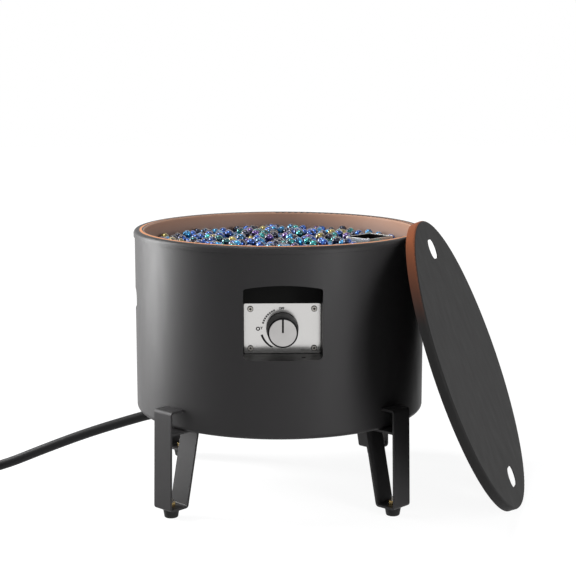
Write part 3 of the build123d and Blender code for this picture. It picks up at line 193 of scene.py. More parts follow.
class Recipe:
    """A node material built up step by step around one Principled shader."""

    edge_round: float = 0.45 * MM
    edge_samples: int = 4

    def __init__(self, name: str, **sockets: Any) -> None:
        """Start the material.

        Args:
            name: Name of the material.
            sockets: Values of the shader's sockets, with underscores for spaces.
        """
        self.material = bpy.data.materials.new(name)
        self.material.use_nodes = True
        self.tree = self.material.node_tree
        self.shader = self.tree.nodes["Principled BSDF"]
        for socket, value in sockets.items():
            self.shader.inputs[socket.replace("_", " ")].default_value = value

    def node(self, kind: str, inputs: dict[str, Any] | None = None, **settings: Any) -> bpy.types.Node:
        """Add a node.

        Args:
            kind: Node type, without its ShaderNode prefix.
            inputs: Values or sockets for its inputs.
            settings: Its own properties.

        Returns:
            The new node.
        """
        node = self.tree.nodes.new("ShaderNode" + kind)
        for key, value in settings.items():
            setattr(node, key, value)
        for key, value in (inputs or {}).items():
            if isinstance(value, bpy.types.NodeSocket):
                self.tree.links.new(value, node.inputs[key])
            else:
                node.inputs[key].default_value = value
        return node

    def place(self, stretch: Point = (1.0, 1.0, 1.0), middle: Point = (0.0, 0.0, 0.0),
              turn: float = 0.0) -> bpy.types.NodeSocket:
        """Give the surface point in object coordinates, from a middle and stretched along the axes.

        Args:
            stretch: Factor for each axis.
            middle: Point that becomes the origin.
            turn: Turn of the axes about Z in degrees.

        Returns:
            The vector socket.
        """
        point = self.node("TexCoord").outputs["Object"]
        moved = self.node("VectorMath", {0: point, 1: middle}, operation="SUBTRACT").outputs["Vector"]
        inputs = {"Vector": moved, "Rotation": (0.0, 0.0, -math.radians(turn))}
        turned = self.node("Mapping", inputs).outputs["Vector"]
        return self.node("VectorMath", {0: turned, 1: stretch}, operation="MULTIPLY").outputs["Vector"]

    def reach(self, middle: Point, stretch: Point = (1.0, 1.0, 1.0)) -> bpy.types.NodeSocket:
        """Give the distance of the surface from a point.

        Args:
            middle: The point.
            stretch: Factor for each axis, 0 where it doesn't count.

        Returns:
            The distance socket.
        """
        return self.node("VectorMath", {0: self.place(stretch, middle)}, operation="LENGTH").outputs["Value"]

    def height(self) -> bpy.types.NodeSocket:
        """Give the height of the surface above the floor."""
        return self.node("SeparateXYZ", {"Vector": self.place()}).outputs["Z"]

    def step(self, value: bpy.types.NodeSocket, start: float, end: float) -> bpy.types.NodeSocket:
        """Rise smoothly from 0 to 1 between two values.

        Args:
            value: The socket to follow.
            start: Value that gives 0.
            end: Value that gives 1.

        Returns:
            The factor socket.
        """
        inputs = {"Value": value, "From Min": start, "From Max": end}
        return self.node("MapRange", inputs).outputs["Result"]

    def maths(self, kind: str, first: Any, second: Any = 0.0) -> bpy.types.NodeSocket:
        """Work out one value from two.

        Args:
            kind: Operation of the Math node.
            first: First value or socket.
            second: Second value or socket.

        Returns:
            The value socket.
        """
        return self.node("Math", {0: first, 1: second}, operation=kind).outputs["Value"]

    def noise(self, scale: float, detail: float = 2.0,
              stretch: Point = (1.0, 1.0, 1.0)) -> bpy.types.NodeSocket:
        """Give a noise over the surface.

        Args:
            scale: Patches in a metre.
            detail: Octaves of the noise.
            stretch: Factor for each axis.

        Returns:
            The factor socket.
        """
        inputs = {"Vector": self.place(stretch), "Scale": scale, "Detail": detail}
        return self.node("TexNoise", inputs).outputs["Fac"]

    def span(self, factor: bpy.types.NodeSocket, low: float, high: float) -> bpy.types.NodeSocket:
        """Map a factor onto a range of values.

        Args:
            factor: Socket from 0 to 1.
            low: Value at 0.
            high: Value at 1.

        Returns:
            The value socket.
        """
        inputs = {"Value": factor, "To Min": low, "To Max": high}
        return self.node("MapRange", inputs).outputs["Result"]

    def blend(self, factor: Any, first: Any, second: Any) -> bpy.types.NodeSocket:
        """Mix two colours.

        Args:
            factor: Share of the second colour.
            first: First colour or socket.
            second: Second colour or socket.

        Returns:
            The colour socket.
        """
        first = first if isinstance(first, bpy.types.NodeSocket) else (*first, 1.0)
        second = second if isinstance(second, bpy.types.NodeSocket) else (*second, 1.0)
        node = self.node("Mix", data_type="RGBA")
        for key, value in (("Factor", factor), ("A", first), ("B", second)):
            socket = next(s for s in node.inputs if s.name == key and s.enabled)
            if isinstance(value, bpy.types.NodeSocket):
                self.tree.links.new(value, socket)
            else:
                socket.default_value = value
        return next(s for s in node.outputs if s.enabled)

    def feed(self, socket: str, source: bpy.types.NodeSocket) -> None:
        """Link a source to one of the shader's sockets.

        Args:
            socket: Name of the shader's socket.
            source: The source socket.
        """
        self.tree.links.new(source, self.shader.inputs[socket])

    def bump(self, height: bpy.types.NodeSocket, depth: float, strength: float = 1.0) -> None:
        """Press a height pattern into the surface.

        Args:
            height: The pattern.
            depth: Its depth in metres.
            strength: Share of the full effect.
        """
        edge = self.node("Bevel", {"Radius": self.edge_round}, samples=self.edge_samples).outputs["Normal"]
        inputs = {"Height": height, "Distance": depth, "Strength": strength, "Normal": edge}
        self.feed("Normal", self.node("Bump", inputs).outputs["Normal"])


# Finishes


class FireGlow(Enum):
    """Where the fire's orange glow is painted onto the paint."""

    NOWHERE = "satin_black_paint"
    BOWL = "painted_fire_glow_bowl"
    LID_EDGE = "painted_fire_glow_lid"


@dataclass(frozen=True)
class HeatPaint:
    """Satin black heat-proof paint over sheet steel, with the fire's glow painted on where the fire is near.
    """

    # Which part, if any, carries the fire's painted glow.
    heat: FireGlow = FireGlow.NOWHERE
    colour: Colour = (0.0145, 0.0138, 0.0142)
    lighter: float = 1.22
    roughness: float = 0.46
    spread: Span = (-0.05, 0.07)
    specular: float = 0.16
    clouds: float = 9.0
    scuffs: float = 60.0
    grain: float = 900.0
    depth: float = 0.03 * MM
    # Painted glow of the fire: colours for the bowl's wall, for its upper part, and a painted orange
    # highlight for the lip's edge.
    wall: Colour = (0.26, 0.175, 0.145)
    upper_wall_glow: Colour = (0.35, 0.20, 0.135)
    edge: Colour = (0.52, 0.20, 0.07)
    wall_radius: Span = (189.3 * MM, 188.6 * MM)
    wall_foot: Span = (338 * MM, 344 * MM)
    wall_rise: Span = (346 * MM, 367 * MM)
    wall_cloud: float = 0.12
    lip_middle: Point = (0.0, -3.4 * MM, 0.0)
    lip_inner: Span = (190.6 * MM, 191.4 * MM)
    lip_outer: Span = (194.6 * MM, 193.6 * MM)
    lip_height: Span = (366.2 * MM, 367.4 * MM)
    # Colour of the fire's painted glow on the lid's skirt.
    lid_glow: Colour = (0.19, 0.056, 0.021)
    lid_middle: Point = (0.2593, -0.0904, 0.1949)
    lid_radius: Span = (202.6 * MM, 203.6 * MM)
    lid_height: Span = (275 * MM, 372 * MM)
    lid_fade: float = 1.5

    def make(self) -> bpy.types.Material:
        """Build the paint: faint cloudiness, fine orange peel and scuffs in the gloss.

        Returns:
            The material.
        """
        recipe = Recipe(self.heat.value, Specular_IOR_Level=self.specular)
        clouds = recipe.noise(self.clouds, 3.0)
        lighter = tuple(channel * self.lighter for channel in self.colour)
        colour = recipe.blend(recipe.span(clouds, 0.1, 0.9), self.colour, lighter)
        if self.heat is FireGlow.BOWL:
            colour = self.bowl(recipe, colour)
        if self.heat is FireGlow.LID_EDGE:
            colour = self.lid(recipe, colour)
        recipe.feed("Base Color", colour)
        scuffs = recipe.noise(self.scuffs, 5.0, (1.0, 1.0, 0.35))
        smooth, rough = (self.roughness + change for change in self.spread)
        recipe.feed("Roughness", recipe.span(scuffs, smooth, rough))
        recipe.bump(recipe.noise(self.grain, 2.0), self.depth)
        return recipe.material

    def bowl(self, recipe: Recipe, paint: bpy.types.NodeSocket) -> bpy.types.NodeSocket:
        """Paint the fire's glow on the bowl's wall, brown low down and more orange towards the top, and a
        painted orange highlight along its upper edge.

        Args:
            recipe: The material.
            paint: Colour of the paint without the painted glow.

        Returns:
            The tinted colour.
        """
        reach = recipe.reach((0.0, 0.0, 0.0), (1.0, 1.0, 0.0))
        height = recipe.height()
        inner = recipe.step(reach, *self.wall_radius)
        above = recipe.step(height, *self.wall_foot)
        glow_lit = recipe.maths("MULTIPLY", inner, above)
        cloud = recipe.span(recipe.noise(22.0, 4.0), -self.wall_cloud, self.wall_cloud)
        rise = recipe.maths("ADD", recipe.step(height, *self.wall_rise), cloud)
        # Painted glow of the fire on the bowl's inner wall, more orange towards the top.
        colour = recipe.blend(glow_lit, paint, recipe.blend(rise, self.wall, self.upper_wall_glow))
        outer = recipe.reach(self.lip_middle, (1.0, 1.0, 0.0))
        lip = recipe.maths("MULTIPLY", recipe.step(reach, *self.lip_inner),
                           recipe.step(outer, *self.lip_outer))
        near = recipe.maths("MULTIPLY", recipe.step(height, *self.lip_height), lip)
        # Painted orange highlight of the fire along the lip's inner edge.
        return recipe.blend(near, colour, self.edge)

    def lid(self, recipe: Recipe, paint: bpy.types.NodeSocket) -> bpy.types.NodeSocket:
        """Paint the fire's orange glow on the part of the lid's skirt that is next to the fire, stronger
        towards the top.

        Args:
            recipe: The material.
            paint: Colour of the paint without the painted glow.

        Returns:
            The tinted colour.
        """
        skirt = recipe.step(recipe.reach(self.lid_middle), *self.lid_radius)
        near = recipe.maths("POWER", recipe.step(recipe.height(), *self.lid_height), self.lid_fade)
        # Painted glow of the fire on the skirt, stronger towards the top.
        return recipe.blend(recipe.maths("MULTIPLY", skirt, near), paint, self.lid_glow)


@dataclass(frozen=True)
class Brushed:
    """Brushed or satin sheet metal, with a printed pointer where one is asked for."""

    name: str
    colour: Colour
    roughness: float = 0.3
    spread: Span = (-0.06, 0.08)
    darker: float = 0.86
    lines: float = 60.0
    stretch: Point = (1.0, 1.0, 120.0)
    depth: float = 0.01 * MM
    pointer_foot: float | None = None
    pointer_half: float = 1.25 * MM
    pointer_soft: float = 0.1 * MM
    ink: Colour = (0.004, 0.004, 0.0045)

    def make(self) -> bpy.types.Material:
        """Build the metal: long fine scratches in colour, gloss and height, and the pointer.

        Returns:
            The material.
        """
        recipe = Recipe(self.name, Metallic=1.0)
        lines = recipe.noise(self.lines, 4.0, self.stretch)
        darker = tuple(channel * self.darker for channel in self.colour)
        colour = recipe.blend(lines, darker, self.colour)
        if self.pointer_foot is not None:
            axes = recipe.node("SeparateXYZ", {"Vector": recipe.place()}).outputs
            across = recipe.step(recipe.maths("ABSOLUTE", axes["X"]), self.pointer_half + self.pointer_soft,
                                 self.pointer_half - self.pointer_soft)
            above = recipe.step(axes["Z"], self.pointer_foot - self.pointer_soft,
                                self.pointer_foot + self.pointer_soft)
            colour = recipe.blend(recipe.maths("MULTIPLY", across, above), colour, self.ink)
        recipe.feed("Base Color", colour)
        smooth, rough = (self.roughness + change for change in self.spread)
        recipe.feed("Roughness", recipe.span(lines, smooth, rough))
        recipe.bump(lines, self.depth, 0.6)
        return recipe.material


@dataclass(frozen=True)
class Plain:
    """Moulded, cast, turned or plated surface with a fine even grain."""

    name: str
    colour: Colour
    roughness: float
    metallic: float = 0.0
    coat: float = 0.0
    specular: float = 0.5
    grain: float = 700.0
    depth: float = 0.02 * MM
    clouds: float = 45.0
    smudges: float = 130.0
    variation: float = 0.15
    unevenness: float = 0.15

    def make(self) -> bpy.types.Material:
        """Build the surface: slight colour change, uneven gloss and grain.

        Returns:
            The material.
        """
        recipe = Recipe(self.name, Metallic=self.metallic, Coat_Weight=self.coat,
                        Specular_IOR_Level=self.specular)
        clouds = recipe.noise(self.clouds, 3.0)
        darker = tuple(channel * (1 - self.variation) for channel in self.colour)
        recipe.feed("Base Color", recipe.blend(clouds, darker, self.colour))
        smudges = recipe.noise(self.smudges, 3.0)
        recipe.feed("Roughness", recipe.span(smudges, self.roughness * (1 - self.unevenness),
                                             self.roughness * (1 + self.unevenness)))
        recipe.bump(recipe.noise(self.grain, 2.0), self.depth)
        return recipe.material


@dataclass(frozen=True)
class Thread:
    """Rolled thread of an upright stud."""

    name: str = "rolled_thread"
    colour: Colour = (0.62, 0.60, 0.57)
    # Colour of the painted shade in the grooves.
    groove_shade: Colour = (0.16, 0.14, 0.12)
    pitch: float = 1.25 * MM
    depth: float = 0.4 * MM
    rough: Span = (0.45, 0.22)

    def make(self) -> bpy.types.Material:
        """Build the thread as even rounded grooves up the stud, with painted shade darkening the grooves.

        Returns:
            The material.
        """
        recipe = Recipe(self.name, Metallic=1.0)
        turns = recipe.maths("MULTIPLY", recipe.height(), 2 * math.pi / self.pitch)
        wave = recipe.step(recipe.maths("SINE", turns), -1.0, 1.0)
        worn = recipe.span(recipe.noise(400.0, 2.0), 0.7, 1.0)
        lit = recipe.maths("MULTIPLY", wave, worn)
        # Painted shade darkens the grooves.
        recipe.feed("Base Color", recipe.blend(lit, self.groove_shade, self.colour))
        recipe.feed("Roughness", recipe.span(wave, *self.rough))
        recipe.bump(wave, self.depth)
        return recipe.material


@dataclass(frozen=True)
class BeadGlass:
    """Iridescent glass: each bead has its own tint, and its rim turns cream."""

    name: str = "iridescent_glass"
    rim: Colour = (0.86, 0.64, 0.42)
    core: Colour = (0.001, 0.003, 0.018)
    swirls: float = 150.0
    swirl: Span = (0.36, 0.62)
    rim_power: float = 5.0

    def make(self) -> bpy.types.Material:
        """Build the glass from the beads' own tint attribute.

        Returns:
            The material.
        """
        recipe = Recipe(self.name, Metallic=0.6, Roughness=0.05, Coat_Weight=0.3)
        tint = recipe.node("Attribute", attribute_name="tint").outputs["Color"]
        swirl = recipe.step(recipe.noise(self.swirls, 3.0), *self.swirl)
        deep = recipe.blend(swirl, tint, self.core)
        facing = recipe.node("LayerWeight", {"Blend": 0.5}).outputs["Facing"]
        rim = recipe.maths("POWER", facing, self.rim_power)
        recipe.feed("Base Color", recipe.blend(rim, deep, self.rim))
        return recipe.material


@dataclass(frozen=True)
class GuardSteel:
    """Bright sheet of the igniter guard, sooty inside."""

    name: str = "sooted_guard"
    colour: Colour = (0.74, 0.73, 0.70)
    soot: Colour = (0.006, 0.006, 0.006)
    darker: float = 0.85
    half: tuple[float, float] = (25.5 * MM, 21.5 * MM)
    soot_side: Span = (1.01, 0.99)
    soot_top: Span = (355.7 * MM, 355.1 * MM)
    scratches: float = 90.0
    rough: Span = (0.22, 0.34)
    soot_rough: float = 0.5

    def make(self) -> bpy.types.Material:
        """Build the steel: fine scratches outside and soot on the inner faces below the top edge.

        Returns:
            The material.
        """
        recipe = Recipe(self.name, Metallic=1.0)
        stretch = (1 / self.half[0], 1 / self.half[1], 1.0)
        inner = recipe.place(stretch, (*GUARD_MIDDLE, 0.0), GUARD_TURN)
        axes = recipe.node("SeparateXYZ", {"Vector": inner}).outputs
        across, along = (recipe.maths("ABSOLUTE", axes[name]) for name in ("X", "Y"))
        inside = recipe.step(recipe.maths("MAXIMUM", across, along), *self.soot_side)
        below = recipe.step(axes["Z"], *self.soot_top)
        dark = recipe.maths("MULTIPLY", inside, below)
        scratches = recipe.noise(self.scratches, 4.0, (1.0, 1.0, 30.0))
        darker = tuple(channel * self.darker for channel in self.colour)
        bright = recipe.blend(scratches, darker, self.colour)
        recipe.feed("Base Color", recipe.blend(dark, bright, self.soot))
        sooty = recipe.maths("MULTIPLY", dark, self.soot_rough)
        recipe.feed("Roughness", recipe.maths("ADD", recipe.span(scratches, *self.rough), sooty))
        recipe.bump(scratches, 0.01 * MM, 0.5)
        return recipe.material


@dataclass(frozen=True)
class PanHead:
    """Nickel-plated heads of the plate's screws, with painted shade in the cross and round the rim."""

    name: str = "nickel_heads"
    colour: Colour = (0.46, 0.44, 0.41)
    shade: Colour = (0.012, 0.011, 0.010)
    spot: tuple[float, float] = (41.5 * MM, 26.0 * MM)
    middle: Point = (0.0, 0.0, 256.0 * MM)
    cross: Span = (1.1 * MM, 1.8 * MM)
    rim: Span = (3.35 * MM, 2.9 * MM)
    rough: Span = (0.5, 0.24)

    def make(self) -> bpy.types.Material:
        """Build the plating from the distance to the nearest screw's axis.

        Returns:
            The material.
        """
        recipe = Recipe(self.name, Metallic=1.0)
        axes = recipe.node("SeparateXYZ", {"Vector": recipe.place(middle=self.middle)}).outputs
        squares = []
        for name, spot in zip("XZ", self.spot):
            off = recipe.maths("SUBTRACT", recipe.maths("ABSOLUTE", axes[name]), spot)
            squares.append(recipe.maths("POWER", off, 2.0))
        reach = recipe.maths("SQRT", recipe.maths("ADD", *squares))
        # Painted shade in the cross and round the rim of each head.
        bright = recipe.maths("MULTIPLY", recipe.step(reach, *self.cross), recipe.step(reach, *self.rim))
        clouds = recipe.span(recipe.noise(300.0, 2.0), 0.8, 1.0)
        lit = recipe.maths("MULTIPLY", bright, clouds)
        recipe.feed("Base Color", recipe.blend(lit, self.shade, self.colour))
        recipe.feed("Roughness", recipe.span(bright, *self.rough))
        recipe.bump(recipe.noise(900.0, 2.0), 0.01 * MM)
        return recipe.material


PAINT = HeatPaint().make()
# The bowl's paint carries the fire's painted glow and a painted highlight on the lip.
BOWL_PAINT = HeatPaint(FireGlow.BOWL).make()
# The lid's paint is a little darker than the body's as painted shade, and carries the fire's painted glow on
# its skirt.
LID_PAINT = HeatPaint(FireGlow.LID_EDGE, colour=(0.0125, 0.0122, 0.0121), roughness=0.6, specular=0.06).make()
GUARD_STEEL = GuardSteel().make()
STAINLESS = Brushed("brushed_stainless", (0.62, 0.61, 0.60), 0.15).make()
SATIN_FACE = Brushed("satin_knob_face", (0.41, 0.40, 0.395), 0.42, stretch=(1.0, 1.0, 1.0),
                     pointer_foot=256.5 * MM).make()
ZINC = Plain("zinc_plate", (0.52, 0.52, 0.53), 0.34, metallic=1.0).make()
BRASS = Plain("turned_brass", (0.74, 0.53, 0.22), 0.26, metallic=1.0).make()
COPPER = Plain("drawn_copper", (0.80, 0.42, 0.26), 0.28, metallic=1.0).make()
CASTING = Plain("cast_alloy", (0.26, 0.26, 0.27), 0.5, metallic=0.9, depth=0.06 * MM).make()
RUBBER = Plain("black_rubber", (0.0055, 0.0055, 0.006), 0.46, specular=0.16, depth=0.04 * MM).make()
PAD_RUBBER = Plain("pad_rubber", (0.006, 0.006, 0.006), 0.6, specular=0.2, depth=0.04 * MM).make()
THREAD = Thread().make()
GLOSS_BLACK = Plain("gloss_black", (0.003, 0.003, 0.0035), 0.5, specular=0.12, depth=0.004 * MM).make()
NICKEL = PanHead().make()
# Black paint of the panel's recess, darker than the body's paint as painted shade inside the recess.
RECESS_SHADE_PAINT = Plain("recess_painted_shade", (0.0028, 0.0028, 0.0026), 0.45, specular=0.06).make()
MATT_BLACK = Plain("moulded_black", (0.022, 0.022, 0.024), 0.5, depth=0.05 * MM).make()
CERAMIC = Plain("white_ceramic", (0.80, 0.78, 0.72), 0.35).make()
PRINT = Plain("black_print", (0.004, 0.004, 0.0045), 0.6, depth=0.002 * MM).make()
GLASS = BeadGlass().make()
# Glass under the beads, darker than the beads as painted shade in the gaps between them.
GLASS_DEEP = Plain("deep_glass", (0.012, 0.02, 0.06), 0.2, coat=0.4).make()


# Sub-assemblies


@dataclass
class Drum:
    """Painted sheet body: wall, base and the bowl with its rim."""

    nodes: tuple[str, ...] = ("drum_shell", "base_plate")

    def build(self) -> None:
        """Dress the sheet pieces and the screws under them."""
        dress(PAINT, self.nodes)
        # The bowl carries the fire's painted glow.
        dress(BOWL_PAINT, ("burner_pan",))
        dress(ZINC, ("leg_screws", "leg_nuts"))


@dataclass(frozen=True)
class Tint:
    """One glass colour and how common it is."""

    colour: Colour
    share: float


@dataclass
class GlassFilling:
    """Bed of iridescent beads round the igniter guard."""

    radius: float = 186.0 * MM
    edge_top: float = 345.0 * MM
    dome: float = 6.0 * MM
    bead: float = 6.9 * MM
    bead_segments: int = 10
    bead_rings: int = 6
    bead_sizes: Span = (0.86, 1.06)
    bead_shades: Span = (0.7, 1.25)
    pitch: float = 13.2 * MM
    wander: float = 1.9 * MM
    lift_mm: Span = (-1.4, 1.2)
    layer_shares: tuple[float, ...] = (1.0, 0.36)
    sink: float = 1.1
    heap: float = 1.15
    seed: int = 7
    guard_half: tuple[float, float] = (26.0 * MM, 22.0 * MM)
    guard_gap: float = 0.4 * MM
    core_foot: float = 327.0 * MM
    core_drop: float = 8.5 * MM
    core_gap: float = 1.0 * MM
    core_sides: int = 96
    core_rings: int = 5
    room_height: float = 80 * MM
    tints: tuple[Tint, ...] = (
        Tint((0.012, 0.095, 0.42), 0.36),
        Tint((0.020, 0.260, 0.55), 0.24),
        Tint((0.015, 0.270, 0.26), 0.13),
        Tint((0.100, 0.045, 0.22), 0.05),
        Tint((0.300, 0.240, 0.060), 0.06),
        Tint((0.004, 0.008, 0.03), 0.16),
    )

    def build(self) -> None:
        """Build the beads and the bed under them, which stand for the CAD filling."""
        core = self.core()
        beads = self.beads()
        place(core, Body.FRAME, GLASS_DEEP)
        place(beads, Body.FRAME, GLASS)
        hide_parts("glass_bed")
        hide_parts("glass_bed")

    def surface(self, x: float, y: float) -> float:
        """Height of the filling's domed top.

        Args:
            x: Place across the bowl.
            y: Place along the bowl.

        Returns:
            The height in metres.
        """
        share = min(1.0, math.hypot(x, y) / self.radius)
        return self.edge_top + self.dome * (1 - share**2)

    def in_guard(self, x: float, y: float, margin: float) -> bool:
        """Tell whether a place is within a margin of the igniter guard.

        Args:
            x: Place across the bowl.
            y: Place along the bowl.
            margin: Room round the guard.

        Returns:
            True where it is too near.
        """
        turn = math.radians(GUARD_TURN)
        dx, dy = x - GUARD_MIDDLE[0], y - GUARD_MIDDLE[1]
        along = dx * math.cos(turn) + dy * math.sin(turn)
        across = dy * math.cos(turn) - dx * math.sin(turn)
        return abs(along) < self.guard_half[0] + margin and abs(across) < self.guard_half[1] + margin

    def core(self) -> bpy.types.Object:
        """Model the mass of glass under the top beads, darker than the beads as painted shade in the gaps
        between them.

        Returns:
            The core piece.
        """
        low = self.core_foot
        high = self.edge_top - self.core_drop
        bpy.ops.mesh.primitive_cylinder_add(vertices=self.core_sides, radius=self.radius - self.core_gap,
                                            depth=high - low, location=(0, 0, (low + high) / 2))
        core = settle(added("glass_bed_core"))
        pick(core, "FACE", lambda face: face.normal.z > 0.9)
        for _ in range(self.core_rings):
            bpy.ops.mesh.inset(thickness=self.radius / (self.core_rings + 2), depth=0.0)
            bpy.ops.transform.translate(value=(0, 0, self.dome / (self.core_rings + 1)))
        bpy.ops.object.mode_set(mode="OBJECT")
        bpy.ops.mesh.primitive_cube_add(size=1.0)
        room = added("guard_room")
        room.scale = (2 * self.guard_half[0] + MM, 2 * self.guard_half[1] + MM, self.room_height)
        room.rotation_euler.z = math.radians(GUARD_TURN)
        room.location = (*GUARD_MIDDLE, high)
        settle(room)
        activate(core)
        cut = core.modifiers.new("guard_room", "BOOLEAN")
        cut.operation = "DIFFERENCE"
        cut.solver = "EXACT"
        cut.object = room
        apply_modifiers(core)
        bpy.data.objects.remove(room)
        return core

    def places(self) -> list[Point]:
        """Choose where the beads lie: a close layer with loose ones heaped on it.

        Returns:
            The beads' middles.
        """
        draw = random.Random(self.seed)
        spots = []
        row_step = self.pitch * math.sqrt(3) / 2
        rows = int(self.radius / row_step) + 1
        for layer, keep in enumerate(self.layer_shares):
            for row in range(-rows, rows + 1):
                for column in range(-rows, rows + 1):
                    across = column + 0.5 * (row % 2) + 0.5 * layer
                    x = across * self.pitch + draw.uniform(-1, 1) * self.wander
                    y = (row + layer / 3) * row_step + draw.uniform(-1, 1) * self.wander
                    lift = draw.uniform(*self.lift_mm) * MM
                    kept = draw.random() < keep
                    outside = math.hypot(x, y) > self.radius - self.bead
                    if not kept or outside or self.in_guard(x, y, self.bead + self.guard_gap):
                        continue
                    drop = self.bead * (self.sink - self.heap * layer)
                    spots.append((x, y, self.surface(x, y) - drop + lift))
        return spots

    def beads(self) -> bpy.types.Object:
        """Model one bead and copy it over the bed, each copy with its own size, turn and tint.

        Returns:
            The joined beads.
        """
        draw = random.Random(self.seed + 1)
        deselect()
        bpy.ops.mesh.primitive_uv_sphere_add(segments=self.bead_segments, ring_count=self.bead_rings,
                                             radius=self.bead)
        master = added("glass_beads")
        bpy.ops.object.shade_smooth()
        corners = [vertex.co.copy() for vertex in master.data.vertices]
        faces = [tuple(face.vertices) for face in master.data.polygons]
        points, polygons, colours = [], [], []
        shares = [tint.share for tint in self.tints]
        for x, y, z in self.places():
            spin = Matrix.Rotation(draw.uniform(0, math.tau), 3, "Z")
            turn = spin @ Matrix.Rotation(draw.uniform(0, math.pi), 3, "X")
            size = Vector([draw.uniform(*self.bead_sizes) for _ in range(3)])
            first = len(points)
            points += [turn @ (corner * size) + Vector((x, y, z)) for corner in corners]
            polygons += [tuple(first + index for index in face) for face in faces]
            tint = draw.choices(self.tints, shares)[0].colour
            shade = draw.uniform(*self.bead_shades)
            colours += [(*(channel * shade for channel in tint), 1.0)] * len(corners)
        mesh = bpy.data.meshes.new("glass_beads")
        mesh.from_pydata(points, [], polygons)
        mesh.polygons.foreach_set("use_smooth", [True] * len(polygons))
        layer = mesh.color_attributes.new("tint", "FLOAT_COLOR", "POINT")
        layer.data.foreach_set("color", [channel for colour in colours for channel in colour])
        master.data = mesh
        return master


@dataclass
class Burner:
    """Ring burner, its gas feed and the igniter in its guard."""

    def build(self) -> None:
        """Dress the burner's pieces."""
        dress(GUARD_STEEL, ("igniter_guard",))
        dress(STAINLESS, ("burner_ring", "igniter_bracket"))
        dress(CASTING, ("air_mixer",))
        dress(ZINC, ("burner_nut", "heat_shield", "thermocouple_probe"))
        dress(CERAMIC, ("igniter_electrode",))
        dress(BRASS, ("orifice_elbow",))
        dress(RUBBER, ("ignition_lead",))
        dress(COPPER, ("thermocouple_lead",))


@dataclass(frozen=True)
class Sign:
    """Printed letters and where they stand round the knob, anticlockwise from the top in degrees."""

    text: str
    size: float
    clock: float
    radius: float


@dataclass(frozen=True)
class Stroke:
    """Printed arc round the knob, from its first to its last angle and width."""

    radius: float
    start: float
    end: float
    thick: float
    thin: float


